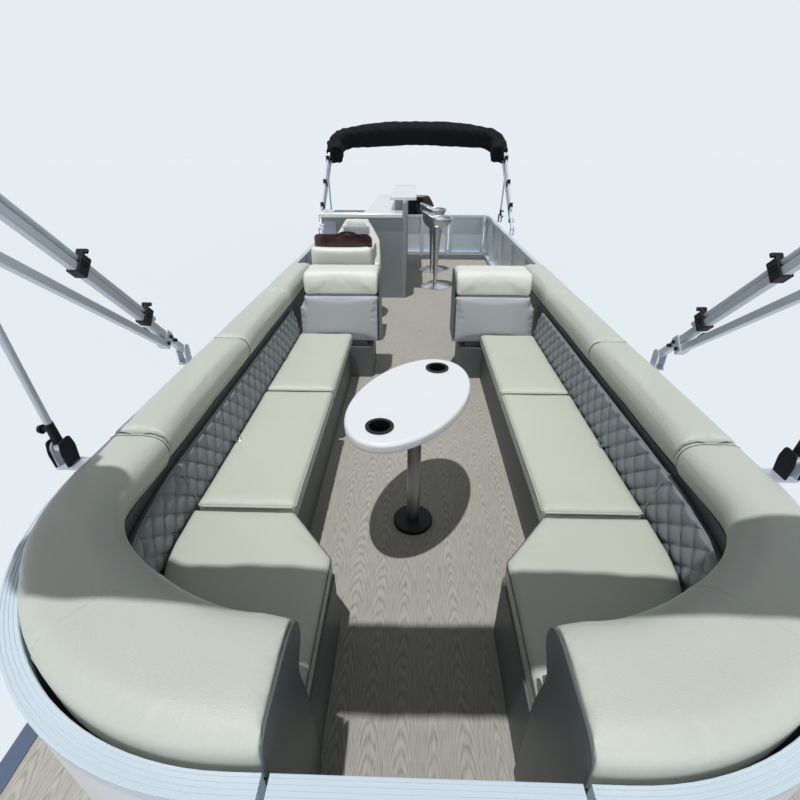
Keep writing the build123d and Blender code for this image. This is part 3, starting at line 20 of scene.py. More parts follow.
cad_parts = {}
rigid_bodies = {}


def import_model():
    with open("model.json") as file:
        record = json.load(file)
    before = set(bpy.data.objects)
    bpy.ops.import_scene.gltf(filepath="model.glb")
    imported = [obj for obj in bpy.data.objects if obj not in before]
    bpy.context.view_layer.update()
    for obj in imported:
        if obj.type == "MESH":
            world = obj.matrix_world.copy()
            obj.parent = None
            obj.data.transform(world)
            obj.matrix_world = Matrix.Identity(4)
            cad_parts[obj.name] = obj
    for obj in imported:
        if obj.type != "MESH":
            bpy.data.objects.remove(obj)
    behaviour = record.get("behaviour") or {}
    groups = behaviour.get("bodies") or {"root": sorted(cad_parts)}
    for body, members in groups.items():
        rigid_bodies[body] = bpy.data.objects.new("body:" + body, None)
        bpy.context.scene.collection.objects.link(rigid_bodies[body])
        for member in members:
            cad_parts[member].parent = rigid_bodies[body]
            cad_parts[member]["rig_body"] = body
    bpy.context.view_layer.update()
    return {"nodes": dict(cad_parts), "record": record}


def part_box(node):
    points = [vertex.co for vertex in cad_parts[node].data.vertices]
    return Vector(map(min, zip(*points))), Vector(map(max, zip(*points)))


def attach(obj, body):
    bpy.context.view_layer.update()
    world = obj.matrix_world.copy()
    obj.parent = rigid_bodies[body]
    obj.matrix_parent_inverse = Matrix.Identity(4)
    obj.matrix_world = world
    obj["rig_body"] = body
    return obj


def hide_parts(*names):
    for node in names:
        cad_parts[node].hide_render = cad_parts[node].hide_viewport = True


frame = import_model()

log = logging.getLogger("pontoon_boat")
NODES = frame["nodes"]
DECK = 0.530
PUFF = "puff"
MERGE_DISTANCE = 1e-5
SEAM_SPACING = 0.02
SHORTEST_SEAM = 6
Colour = tuple[float, float, float, float]
Socket = bpy.types.NodeSocket
Value = Union[Socket, float, Colour]
Piece = bpy.types.Object
Mesh = bmesh.types.BMesh


def clamped(share: float) -> float:
    """Share kept between 0 and 1."""
    return min(1.0, max(0.0, share))


def eased(share: float) -> float:
    """Share kept between 0 and 1, level at both ends."""
    share = clamped(share)
    return share * share * (3 - 2 * share)


def display(red: float, green: float, blue: float) -> Colour:
    """Linear colour of an 8-bit display colour."""
    linear = []
    for value in (red, green, blue):
        share = value / 255
        linear.append(share / 12.92 if share <= 0.04045 else ((share + 0.055) / 1.055) ** 2.4)
    return (linear[0], linear[1], linear[2], 1.0)


class Graph:
    """Short calls to fill one node tree."""

    def __init__(self, tree: bpy.types.NodeTree) -> None:
        """Keep the tree that the calls fill."""
        self.tree = tree

    def add(self, kind: str, inputs: dict | None = None, **settings: object) -> bpy.types.Node:
        """Add a node.

        Args:
            kind: the node's type name.
            inputs: socket name or index to a value, or to a socket to link from.
            settings: attributes of the node.

        Returns:
            The new node.
        """
        node = self.tree.nodes.new(kind)
        for key, value in settings.items():
            setattr(node, key, value)
        self.fill(node, inputs or {})
        return node

    def fill(self, node: bpy.types.Node, inputs: dict) -> None:
        """Set or link a node's inputs, by name or index."""
        for key, value in inputs.items():
            if isinstance(value, Socket):
                self.link(value, node.inputs[key])
            else:
                node.inputs[key].default_value = value

    def link(self, start: Socket, end: Socket) -> None:
        """Link one socket to another."""
        self.tree.links.new(start, end)

    def math(self, operation: str, first: Value, second: Value = 0.0) -> Socket:
        """Result of a Math node on two values or sockets."""
        return self.add("ShaderNodeMath", {0: first, 1: second}, operation=operation).outputs[0]

    def plus(self, first: Value, second: Value) -> Socket:
        """Sum of two values or sockets."""
        return self.math("ADD", first, second)

    def less(self, first: Value, second: Value) -> Socket:
        """Difference of two values or sockets."""
        return self.math("SUBTRACT", first, second)

    def times(self, first: Value, second: Value) -> Socket:
        """Product of two values or sockets."""
        return self.math("MULTIPLY", first, second)

    def noise(self, place: Socket, scale: Value, detail: float, **inputs: Value) -> bpy.types.Node:
        """Noise texture at a place, with any further inputs by name."""
        values = {"Vector": place, "Scale": scale, "Detail": detail, **inputs}
        return self.add("ShaderNodeTexNoise", values)

    def stretched(self, place: Socket, scale: tuple) -> Socket:
        """Place with its axes scaled."""
        return self.add("ShaderNodeMapping", {"Vector": place, "Scale": scale}).outputs[0]

    def mix(self, factor: Value, first: Value, second: Value, blend: str = "MIX") -> Socket:
        """Colour between two colours.

        Args:
            factor: share of the second colour.
            first: colour or socket at a factor of 0.
            second: colour or socket at a factor of 1.
            blend: how the second colour is laid on the first.

        Returns:
            The result socket.
        """
        inputs = {0: factor, 6: first, 7: second}
        return self.add("ShaderNodeMix", inputs, data_type="RGBA", blend_type=blend).outputs[2]


def new_group(name: str, inputs: dict[str, tuple[str, object]], outputs: dict[str, str]) -> tuple:
    """Start a shader node group.

    Args:
        name: the group's name.
        inputs: input name to its socket type and default value.
        outputs: output name to its socket type.

    Returns:
        The graph of the group, its input node and its output node.
    """
    tree = bpy.data.node_groups.new(name, "ShaderNodeTree")
    for key, (kind, default) in inputs.items():
        socket = tree.interface.new_socket(key, in_out="INPUT", socket_type=kind)
        if default is not None:
            socket.default_value = default
    for key, kind in outputs.items():
        tree.interface.new_socket(key, in_out="OUTPUT", socket_type=kind)
    graph = Graph(tree)
    return graph, graph.add("NodeGroupInput"), graph.add("NodeGroupOutput")


@lru_cache(maxsize=None)
def drift_group() -> bpy.types.NodeTree:
    """Group that varies a colour slowly over the surface, with faint dust on what faces up."""
    graph, enter, leave = new_group(
        "Colour drift",
        {
            "Vector": ("NodeSocketVector", None),
            "Colour": ("NodeSocketColor", (0.8, 0.8, 0.8, 1)),
            "Amount": ("NodeSocketFloat", 0.06),
            "Scale": ("NodeSocketFloat", 3.0),
            "Dust": ("NodeSocketFloat", 0.05),
        },
        {"Colour": "NodeSocketColor", "Mask": "NodeSocketFloat"},
    )
    place, colour, amount, scale, dustiness = enter.outputs[:5]
    noise = graph.noise(place, scale, 5.0, Roughness=0.6).outputs[0]
    shade = graph.times(graph.less(noise, 0.5), amount)
    level = graph.plus(graph.times(shade, 2.0), 1.0)
    grey = graph.add("ShaderNodeCombineColor", {0: level, 1: level, 2: level})
    varied = graph.mix(1.0, colour, grey.outputs[0], "MULTIPLY")
    facing = graph.add("ShaderNodeSeparateXYZ", {0: graph.add("ShaderNodeNewGeometry").outputs["Normal"]})
    upward = graph.math("MAXIMUM", facing.outputs[2], 0.0)
    speck = graph.noise(place, 14.0, 6.0).outputs[0]
    dust = graph.times(graph.times(upward, speck), dustiness)
    graph.link(graph.mix(dust, varied, display(205, 200, 188)), leave.inputs[0])
    graph.link(noise, leave.inputs[1])
    return graph.tree


def height_group(name: str, scale: float) -> tuple:
    """Start a node group that gives a height.

    Args:
        name: the group's name.
        scale: default scale of its texture.

    Returns:
        The graph of the group, its sockets with the place and the scale, and the socket for the height.
    """
    inputs = {"Vector": ("NodeSocketVector", None), "Scale": ("NodeSocketFloat", scale)}
    graph, enter, leave = new_group(name, inputs, {"Height": "NodeSocketFloat"})
    return graph, enter.outputs[0], enter.outputs[1], leave.inputs[0]


@lru_cache(maxsize=None)
def pebble_group() -> bpy.types.NodeTree:
    """Group with the pebbled height of vinyl or of a grained moulding."""
    graph, place, scale, height = height_group("Pebble grain", 500.0)
    cells = graph.add("ShaderNodeTexVoronoi", {"Vector": place, "Scale": scale})
    waves = graph.noise(place, 22.0, 4.0)
    graph.link(graph.plus(cells.outputs["Distance"], graph.times(waves.outputs[0], 1.4)), height)
    return graph.tree


@lru_cache(maxsize=None)
def drawn_group() -> bpy.types.NodeTree:
    """Group with the fine drawn lines of brushed or extruded metal."""
    graph, place, scale, height = height_group("Drawn lines", 300.0)
    lines = graph.noise(graph.stretched(place, (1.0, 0.03, 1.0)), scale, 3.0)
    graph.link(lines.outputs[0], height)
    return graph.tree


@lru_cache(maxsize=None)
def weave_group() -> bpy.types.NodeTree:
    """Group with the crossed threads of canvas."""
    graph, place, scale, height = height_group("Canvas weave", 260.0)
    inputs = {"Vector": place, "Scale": scale, "Distortion": 0.6}
    highest = 0.0
    for direction in ("X", "Y", "Z"):
        wave = graph.add("ShaderNodeTexWave", inputs, bands_direction=direction)
        highest = graph.math("MAXIMUM", highest, wave.outputs["Fac"])
    graph.link(highest, height)
    return graph.tree


class Grain(Enum):
    """Small relief of a surface."""

    PEBBLE = "pebble"
    DRAWN = "drawn"
    WEAVE = "weave"


GRAIN_GROUPS = {Grain.PEBBLE: pebble_group, Grain.DRAWN: drawn_group, Grain.WEAVE: weave_group}


@dataclass(frozen=True)
class Finish:
    """One finish: its colour as the display shows it, its gloss and its grain."""

    name: str
    colour: tuple[int, int, int]
    roughness: float
    grain: Grain = Grain.PEBBLE
    grain_scale: float = 500.0
    grain_depth: float = 0.0003
    metallic: float = 0.0
    specular: float = 0.5
    coat: float = 0.0
    drift: float = 0.06
    dust: float = 0.05
    coat_roughness: float = 0.08
    uneven_gloss: float = 0.25
    relief: float = 0.8

    def build(self) -> bpy.types.Material:
        """Make the material of this finish.

        Returns:
            The new material.
        """
        material = bpy.data.materials.new(self.name)
        material.use_nodes = True
        graph = Graph(material.node_tree)
        surface = graph.tree.nodes["Principled BSDF"]
        for key, value in (
            ("Metallic", self.metallic),
            ("Specular IOR Level", self.specular),
            ("Coat Weight", self.coat),
            ("Coat Roughness", self.coat_roughness),
        ):
            surface.inputs[key].default_value = value
        place = graph.add("ShaderNodeTexCoord").outputs["Object"]
        drift = {0: place, 1: display(*self.colour), 2: self.drift, 4: self.dust}
        base = graph.add("ShaderNodeGroup", node_tree=drift_group())
        graph.fill(base, drift)
        graph.link(self.tint(graph, place, base.outputs[0]), surface.inputs["Base Color"])
        spread = graph.times(graph.less(base.outputs[1], 0.5), self.uneven_gloss)
        graph.link(graph.plus(spread, self.roughness), surface.inputs["Roughness"])
        grain = graph.add("ShaderNodeGroup", node_tree=GRAIN_GROUPS[self.grain]())
        graph.fill(grain, {0: place, 1: self.grain_scale})
        relief = {"Strength": self.relief, "Distance": self.grain_depth, "Height": grain.outputs[0]}
        graph.link(graph.add("ShaderNodeBump", relief).outputs[0], surface.inputs["Normal"])
        return material

    def tint(self, graph: Graph, place: Socket, colour: Socket) -> Socket:
        """Colour of the surface, here the drifted one as it is."""
        return colour


@dataclass(frozen=True)
class PlankFinish(Finish):
    """Woven deck covering printed as planks with arched wood grain."""

    plank_width: float = 0.104
    arch_pitch: float = 0.056
    arch_bend: float = 28.0
    seam_share: float = 0.02
    arch_shift: float = 9.0
    arch_sharpness: float = 1.8
    arch_weight: float = 0.36
    wobble: float = 2.8
    wobble_scale: float = 18.0
    fibre_scale: float = 300.0
    fibre_cut: float = 0.52
    fibre_weight: float = 0.24
    tone_weight: float = 0.12
    seam_weight: float = 0.12
    grain_colour: tuple[int, int, int] = (112, 109, 101)
    tone_colour: tuple[int, int, int] = (160, 158, 154)
    seam_colour: tuple[int, int, int] = (86, 82, 76)

    def parts(self, graph: Graph, place: Socket) -> tuple:
        """Place across a plank, from -0.5 to 0.5, the plank's own random value and the place along it."""
        split = graph.add("ShaderNodeSeparateXYZ", {0: place})
        count = graph.math("DIVIDE", split.outputs[0], self.plank_width)
        plank = graph.math("FLOOR", count)
        across = graph.less(graph.less(count, plank), 0.5)
        random = graph.add("ShaderNodeTexWhiteNoise", {"W": plank}, noise_dimensions="1D").outputs["Value"]
        return across, random, split.outputs[1]

    def tint(self, graph: Graph, place: Socket, colour: Socket) -> Socket:
        """Plank colour: arches and fine fibres over the drifted colour, with a dark line between planks."""
        across, random, along = self.parts(graph, place)
        wobble = graph.noise(graph.stretched(place, (1.0, 0.25, 1.0)), self.wobble_scale, 4.0).outputs[0]
        fibre = graph.noise(graph.stretched(place, (1.0, 0.04, 1.0)), self.fibre_scale, 2.0).outputs[0]
        strength = graph.times(graph.plus(random, 0.5), self.arch_bend)
        bend = graph.times(graph.times(across, across), strength)
        arches = graph.math("DIVIDE", along, self.arch_pitch)
        shifted = graph.plus(arches, graph.times(random, self.arch_shift))
        phase = graph.plus(graph.plus(shifted, bend), graph.times(wobble, self.wobble))
        rings = graph.math("SINE", graph.times(phase, math.tau))
        ridge = graph.math("POWER", graph.plus(graph.times(rings, 0.5), 0.5), self.arch_sharpness)
        streak = graph.times(graph.math("GREATER_THAN", fibre, self.fibre_cut), self.fibre_weight)
        lines = graph.plus(graph.times(ridge, self.arch_weight), streak)
        grained = graph.mix(lines, colour, display(*self.grain_colour))
        whole = graph.mix(graph.times(random, self.tone_weight), grained, display(*self.tone_colour))
        edge = graph.math("GREATER_THAN", graph.math("ABSOLUTE", across), 0.5 - self.seam_share / 2)
        return graph.mix(graph.times(edge, self.seam_weight), whole, display(*self.seam_colour))


@dataclass(frozen=True)
class QuiltFinish(Finish):
    """Quilted vinyl, with painted shade in the grooves along its stitched lines."""

    stitch_colour: tuple[int, int, int] = (66, 71, 76)

    def tint(self, graph: Graph, place: Socket, colour: Socket) -> Socket:
        """Colour with painted shade where the puff attribute falls to nothing, in the stitched grooves."""
        puff = graph.add("ShaderNodeAttribute", attribute_name=PUFF).outputs["Fac"]
        # Painted shade: darker as the surface sinks into a stitched groove.
        groove = graph.math("POWER", graph.less(1.0, puff), 3.0)
        return graph.mix(groove, colour, display(*self.stitch_colour))


@dataclass(frozen=True)
class TintedScreen(Finish):
    """Tinted clear sheet."""

    alpha: float = 0.82

    def build(self) -> bpy.types.Material:
        """Make the material, let some light through and keep its gloss."""
        material = super().build()
        material.node_tree.nodes["Principled BSDF"].inputs["Alpha"].default_value = self.alpha
        return material


class Surface(Enum):
    """Finishes of the boat."""

    VINYL = Finish("cream vinyl", (200, 205, 195), 0.40, grain_depth=0.0006, drift=0.05)
    SEAT_VINYL = Finish("seat vinyl", (205, 209, 195), 0.43, grain_depth=0.0006, drift=0.05)
    PILLOW_VINYL = Finish("pillow vinyl", (230, 233, 224), 0.40, grain_depth=0.0006, drift=0.05)
    GREY_VINYL = Finish("grey vinyl", (176, 180, 185), 0.45, grain_depth=0.0006, drift=0.05)
    QUILT_VINYL = QuiltFinish("quilted vinyl", (132, 138, 144), 0.42, grain_depth=0.0006, drift=0.1)
    END_VINYL = Finish("end panel vinyl", (98, 104, 106), 0.42, grain_depth=0.0006, specular=0.4, drift=0.1)
    DARK_PIPING = Finish("dark piping", (74, 80, 84), 0.5, grain_depth=0.0002)
    LIGHT_PIPING = Finish("light piping", (196, 200, 196), 0.45, grain_depth=0.0002)
    EDGE_PIPING = Finish("edge piping", (150, 154, 160), 0.45, grain_depth=0.0002)
    MOULDING = Finish("grey moulding", (104, 108, 110), 0.55, grain_scale=350.0, specular=0.35, drift=0.1)
    PLANKS = PlankFinish("plank covering", (186, 183, 173), 0.8, Grain.PEBBLE, 700.0, 0.0004, drift=0.1)
    TRIM = Finish("deck trim", (80, 96, 120), 0.4, Grain.DRAWN, metallic=0.4)
    # The blue tint of this white rail is a painted sky reflection.
    RAIL = Finish("white rail", (206, 220, 230), 0.32, Grain.DRAWN, 500.0, 0.0001, coat=0.2, drift=0.04)
    PANEL = Finish("fence panel", (236, 240, 248), 0.3, Grain.PEBBLE, 200.0, 0.0001, coat=0.4, drift=0.04)
    TUBE = Finish("bimini tube", (196, 204, 214), 0.34, Grain.DRAWN, 500.0, 0.0001, metallic=0.3, drift=0.06)
    HULL = Finish(
        "hull aluminium", (176, 180, 184), 0.38, Grain.DRAWN, 500.0, 0.0002, metallic=0.9, drift=0.12
    )
    MILL = Finish(
        "mill aluminium", (160, 163, 166), 0.5, Grain.DRAWN, 500.0, 0.0002, metallic=0.9, drift=0.1
    )
    TABLE = Finish("table gelcoat", (236, 239, 243), 0.22, Grain.PEBBLE, 60.0, 0.00005, coat=0.6, drift=0.02)
    SATIN = Finish("satin post", (150, 152, 154), 0.32, Grain.DRAWN, 500.0, 0.0001, metallic=1.0)
    BLACK = Finish("black moulding", (17, 18, 20), 0.5, Grain.PEBBLE, 400.0, 0.0002, specular=0.2, dust=0.02)
    POD = Finish("helm gelcoat", (200, 204, 204), 0.35, Grain.PEBBLE, 120.0, 0.0001, coat=0.2, drift=0.04)
    BAR_FRONT = Finish("bar laminate", (130, 138, 142), 0.5, Grain.PEBBLE, 150.0, 0.0002, drift=0.08)
    BAR_BOARD = Finish("bar end board", (142, 148, 152), 0.5, Grain.PEBBLE, 150.0, 0.0002, drift=0.08)
    BAR_DOOR = Finish("bar door", (160, 166, 182), 0.45, Grain.PEBBLE, 150.0, 0.0002, drift=0.06)
    COUNTER = Finish("counter", (222, 227, 230), 0.3, Grain.PEBBLE, 80.0, 0.00005, coat=0.3, drift=0.03)
    POLISHED = Finish("polished silver", (200, 203, 206), 0.24, Grain.PEBBLE, 30.0, 0.0001, metallic=1.0)
    CHROME = Finish("chrome", (214, 216, 218), 0.1, Grain.PEBBLE, 30.0, 0.00005, metallic=1.0)
    CANVAS = Finish(
        "boot canvas", (17, 19, 23), 0.9, Grain.WEAVE, 260.0, 0.0006, specular=0.15, drift=0.2, dust=0.02
    )
    BRACKET = Finish("bracket paint", (34, 36, 39), 0.4, grain_depth=0.0002, specular=0.3, drift=0.1)
    COWL = Finish("cowl gloss", (6, 7, 9), 0.22, Grain.PEBBLE, 40.0, 0.0001, specular=0.1, dust=0.0)
    SCREEN = TintedScreen("tinted screen", (58, 24, 22), 0.15, Grain.PEBBLE, 30.0, 0.00005, specular=0.3)


@lru_cache(maxsize=None)
def material_of(surface: Surface) -> bpy.types.Material:
    """Material of a finish, made once."""
    return surface.value.build()


NODE_SURFACES = {
    Surface.HULL: ("pontoons", "motor_pod"),
    Surface.MILL: ("risers", "cross_members"),
    Surface.PLANKS: ("deck",),
    Surface.TRIM: ("deck_trim",),
    Surface.RAIL: ("fence_port", "fence_starboard", "fence_stern", "bow_gate", "stern_gate"),
    Surface.PANEL: ("fence_panels",),
    Surface.MOULDING: ("bench_bases", "backrest_frames", "recliner_bases"),
    Surface.TABLE: ("table_top",),
    Surface.SATIN: ("table_post", "chair_pedestal"),
    Surface.BLACK: ("table_foot", "cup_holders", "steering_wheel"),
    Surface.POD: ("console",),
    Surface.SCREEN: ("windscreen",),
    Surface.BAR_FRONT: ("bar_cabinet",),
    Surface.BAR_BOARD: ("bar_board",),
    Surface.COUNTER: ("bar_counter", "bar_raised_top"),
    Surface.POLISHED: (
        "stool_stands",
        "stool_column_forward",
        "stool_column_aft",
        "stool_seat_forward",
        "stool_seat_aft",
    ),
    Surface.TUBE: (
        "bimini_front_frame",
        "bimini_aft_frame",
        "bimini_front_struts",
        "bimini_aft_struts",
        "bimini_mounts",
    ),
    Surface.BRACKET: ("clamp_bracket", "swivel_bracket", "propeller"),
    Surface.COWL: ("outboard_leg", "cowl"),
}


def dress_nodes() -> None:
    """Give each CAD node that stays its finish."""
    for surface, names in NODE_SURFACES.items():
        for name in names:
            for slot in NODES[name].material_slots:
                slot.material = material_of(surface)


def slot_of(node: str) -> str:
    """Material slot that the record gives a node."""
    for entry in frame["record"]["subparts"]:
        if entry["node"] == node:
            return entry["material_slot"]
    raise KeyError(node)


def body_of_node(node: str) -> str:
    """Body that a node belongs to."""
    return NODES[node]["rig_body"]


def add_piece(name: str, mesh: Mesh, surface: Surface, near: str, smooth: bool = True) -> Piece:
    """Turn a bmesh into a piece of the scene that rides with a node's body.

    Args:
        name: the piece's name.
        mesh: its shape in the row frame; it is freed.
        surface: its finish.
        near: CAD node whose body it takes; its material slot is only looked up.
        smooth: whether its faces are shaded smooth.

    Returns:
        The new object.
    """
    data = bpy.data.meshes.new(name)
    for face in mesh.faces:
        face.smooth = smooth
    mesh.to_mesh(data)
    mesh.free()
    piece = bpy.data.objects.new(name, data)
    bpy.context.scene.collection.objects.link(piece)
    data.materials.append(material_of(surface))
    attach(piece, body_of_node(near))
    slot_of(near)
    log.info("made %s with %d faces", name, len(data.polygons))
    return piece


def starboard(name: str) -> str:
    """Name of the starboard twin of a port node or piece."""
    return name.replace("_port", "_starboard")


def mirrored(piece: Piece, near: str) -> Piece:
    """Copy a port piece to starboard.

    Args:
        piece: the port piece.
        near: CAD node of the port piece; the copy takes the starboard one's body.

    Returns:
        The starboard piece.
    """
    mesh = bmesh.new()
    mesh.from_mesh(piece.data)
    bmesh.ops.scale(mesh, verts=mesh.verts, vec=(-1, 1, 1))
    bmesh.ops.reverse_faces(mesh, faces=mesh.faces)
    smooth = any(face.smooth for face in mesh.faces)
    copy = add_piece(starboard(piece.name), mesh, Surface.BLACK, starboard(near), smooth)
    copy.data.materials[0] = piece.data.materials[0]
    if piece.modifiers:
        subdivide(copy)
    return copy


def add_both(name: str, mesh: Mesh, surface: Surface, near: str, smooth: bool = True) -> None:
    """Add a piece to port and its mirror image to starboard.

    Args:
        name: what both names begin with.
        mesh: the port piece's shape; it is freed.
        surface: their finish.
        near: CAD node that the port piece rides with.
        smooth: whether their faces are shaded smooth.
    """
    mirrored(add_piece(f"{name}_port", mesh, surface, near, smooth), near)


def subdivide(piece: Piece) -> None:
    """Subdivide a piece once, in the view and in the render."""
    modifier = piece.modifiers.new("Subdivision", "SUBSURF")
    modifier.levels = 1
    modifier.render_levels = 1


def remesh(piece: Piece, voxel: float) -> None:
    """Give a piece even faces of a voxel's size, shaded smooth."""
    modifier = piece.modifiers.new("Remesh", "REMESH")
    modifier.mode = "VOXEL"
    modifier.voxel_size = voxel
    bake(piece)


def bake(piece: Piece) -> None:
    """Apply all of a piece's modifiers to its mesh and shade it smooth."""
    graph = bpy.context.evaluated_depsgraph_get()
    graph.update()
    data = bpy.data.meshes.new_from_object(piece.evaluated_get(graph))
    old = piece.data
    material = old.materials[0]
    piece.modifiers.clear()
    piece.data = data
    data.name = piece.name
    data.materials.clear()
    data.materials.append(material)
    bpy.data.meshes.remove(old)
    for polygon in data.polygons:
        polygon.use_smooth = True


def node_mesh(node: str) -> Mesh:
    """Mesh of a CAD node with its doubled points merged."""
    mesh = bmesh.new()
    mesh.from_mesh(NODES[node].data)
    bmesh.ops.remove_doubles(mesh, verts=mesh.verts, dist=MERGE_DISTANCE)
    mesh.verts.index_update()
    return mesh


def islands(node: str) -> list[Mesh]:
    """Separate solids of a CAD node as merged meshes, from starboard to port and from bow to stern.

    Args:
        node: the node's name.

    Returns:
        One bmesh for each solid.
    """
    whole = node_mesh(node)
    seen = set()
    pieces = []
    for seed in whole.verts:
        if seed.index in seen:
            continue
        group = {seed.index}
        front = [seed]
        while front:
            vertex = front.pop()
            for edge in vertex.link_edges:
                other = edge.other_vert(vertex)
                if other.index not in group:
                    group.add(other.index)
                    front.append(other)
        seen |= group
        part = whole.copy()
        part.verts.index_update()
        outside = [vertex for vertex in part.verts if vertex.index not in group]
        bmesh.ops.delete(part, geom=outside, context="VERTS")
        pieces.append(part)
    whole.free()
    pieces.sort(key=lambda part: (middle(part).x > 0, middle(part).y))
    return pieces


def middle(mesh: Mesh) -> Vector:
    """Middle of a mesh's vertices."""
    return sum((vertex.co for vertex in mesh.verts), Vector()) / len(mesh.verts)


def span(mesh: Mesh, axis: int) -> tuple[float, float]:
    """Least and greatest place of a mesh along an axis."""
    places = [vertex.co[axis] for vertex in mesh.verts]
    return min(places), max(places)


def evenly(low: float, high: float, steps: int) -> list[float]:
    """Places from low to high at equal steps."""
    return [low + (high - low) * index / steps for index in range(steps + 1)]


def ring(radius: float, steps: int) -> list[tuple[float, float]]:
    """Points of a circle about zero."""
    angles = [math.tau * step / steps for step in range(steps)]
    return [(radius * math.cos(angle), radius * math.sin(angle)) for angle in angles]


def only(kind: type, items: list) -> list:
    """Items of one kind, in their order."""
    return [item for item in items if isinstance(item, kind)]


class Sweep:
    """Carries an outline along straight runs and turns, by extruding and spinning it."""

    def __init__(self, outline: list[Vector]) -> None:
        """Start with the closed outline of the section, where the sweep begins."""
        self.mesh = bmesh.new()
        verts = [self.mesh.verts.new(point) for point in outline]
        self.edges = [self.mesh.edges.new(pair) for pair in zip(verts, verts[1:] + verts[:1])]
        self.first = list(self.edges)

    def run(self, way: Vector, steps: int = 1) -> "Sweep":
        """Extend the sweep by a straight run.

        Args:
            way: the whole run.
            steps: how many stretches it is split into.

        Returns:
            The sweep itself.
        """
        for _ in range(steps):
            made = bmesh.ops.extrude_edge_only(self.mesh, edges=self.edges)["geom"]
            verts = only(bmesh.types.BMVert, made)
            bmesh.ops.translate(self.mesh, verts=verts, vec=Vector(way) / steps)
            moved = set(verts)
            self.edges = [edge for edge in only(bmesh.types.BMEdge, made) if moved.issuperset(edge.verts)]
        return self

    def turn(self, centre: Vector, angle: float, steps: int) -> "Sweep":
        """Turn the sweep about an upright axis.

        Args:
            centre: a point on the axis.
            angle: how far it turns, in radians.
            steps: how many stretches the turn is split into.

        Returns:
            The sweep itself.
        """
        verts = dict.fromkeys(vertex for edge in self.edges for vertex in edge.verts)
        geometry = [*verts, *self.edges]
        made = bmesh.ops.spin(
            self.mesh, geom=geometry, cent=centre, axis=(0, 0, 1), angle=angle, steps=steps
        )
        self.edges = only(bmesh.types.BMEdge, made["geom_last"])
        return self

    def finish(self) -> Mesh:
        """Close both ends, point the faces outwards and give the mesh."""
        for edges in (self.first, self.edges):
            bmesh.ops.edgeloop_fill(self.mesh, edges=edges)
        bmesh.ops.recalc_face_normals(self.mesh, faces=self.mesh.faces)
        return self.mesh


def extruded(outline: list[Vector], way: tuple, steps: int = 1) -> Mesh:
    """Outline carried along a straight run, in equal steps."""
    return Sweep(outline).run(Vector(way), steps).finish()


def bevel(mesh: Mesh, edges: list, width: float, segments: int) -> None:
    """Round some edges of a mesh off.

    Args:
        mesh: the mesh.
        edges: its edges to round.
        width: how wide the rounding is.
        segments: faces across it.
    """
    bmesh.ops.bevel(
        mesh, geom=edges, offset=width, affect="EDGES", segments=segments, profile=0.5, material=-1
    )


def block(low: tuple, high: tuple, width: float, segments: int = 2) -> Mesh:
    """Box between two corners, with rounded edges.

    Args:
        low: lowest corner.
        high: highest corner.
        width: width of the rounding.
        segments: faces across it.

    Returns:
        The box.
    """
    mesh = bmesh.new()
    bmesh.ops.create_cube(mesh, size=1)
    bmesh.ops.scale(mesh, verts=mesh.verts, vec=Vector(high) - Vector(low))
    bmesh.ops.translate(mesh, verts=mesh.verts, vec=(Vector(high) + Vector(low)) / 2)
    bevel(mesh, mesh.edges[:], width, segments)
    return mesh


def rod(start: tuple, end: tuple, radius: float, end_radius: float | None = None, sides: int = 24) -> Mesh:
    """Round bar or cone from start to end.

    Args:
        start: middle of one end.
        end: middle of the other.
        radius: radius at the start.
        end_radius: radius at the end, or none for the same.
        sides: faces round it.

    Returns:
        The bar.
    """
    mesh = bmesh.new()
    start = Vector(start)
    end = Vector(end)
    way = end - start
    far = radius if end_radius is None else end_radius
    bmesh.ops.create_cone(
        mesh, cap_ends=True, segments=sides, radius1=radius, radius2=far, depth=way.length
    )
    turn = way.to_track_quat("Z", "Y").to_matrix().to_4x4()
    place = Matrix.Translation((start + end) / 2) @ turn
    bmesh.ops.transform(mesh, matrix=place, verts=mesh.verts)
    return mesh


def rounded(corners: list[tuple[float, float]], radii: list, steps: int = 6) -> list[tuple[float, float]]:
    """Outline whose corners are rounded off.

    Args:
        corners: the outline's corners.
        radii: how far the rounding reaches along the sides at each corner, or a pair for the two sides.
        steps: stretches in each rounding.

    Returns:
        The rounded outline's points.
    """
    points = []
    for index, (corner, radius) in enumerate(zip(corners, radii)):
        here = Vector(corner)
        if radius == 0:
            points.append(corner)
            continue
        before = Vector(corners[index - 1]) - here
        after = Vector(corners[(index + 1) % len(corners)]) - here
        reach = radius if isinstance(radius, tuple) else (radius, radius)
        start = here + before.normalized() * reach[0]
        end = here + after.normalized() * reach[1]
        for share in evenly(0.0, 1.0, steps):
            points.append(tuple(start * (1 - share) ** 2 + here * 2 * share * (1 - share) + end * share**2))
    return points


def plate(points: list[Vector], way: Vector, width: float) -> Mesh:
    """Flat plate of any outline.

    Args:
        points: its outline, in one plane.
        way: its thickness, as a run from that plane to its shown face.
        width: width of the rounding round the shown face.

    Returns:
        The plate.
    """
    mesh = bmesh.new()
    face = mesh.faces.new([mesh.verts.new(point) for point in points])
    made = bmesh.ops.extrude_face_region(mesh, geom=[face])["geom"]
    bmesh.ops.translate(mesh, verts=only(bmesh.types.BMVert, made), vec=way)
    bevel(mesh, only(bmesh.types.BMEdge, made), width, 2)
    bmesh.ops.recalc_face_normals(mesh, faces=mesh.faces)
    return mesh


def placed(mesh: Mesh, origin: Vector, axes: tuple[Vector, Vector, Vector]) -> Mesh:
    """Move a mesh that is drawn about zero.

    Args:
        mesh: the mesh.
        origin: where its zero goes.
        axes: where its three axes point.

    Returns:
        The same mesh.
    """
    turn = Matrix(axes).transposed().to_4x4()
    bmesh.ops.transform(mesh, matrix=Matrix.Translation(origin) @ turn, verts=mesh.verts)
    bmesh.ops.recalc_face_normals(mesh, faces=mesh.faces)
    return mesh


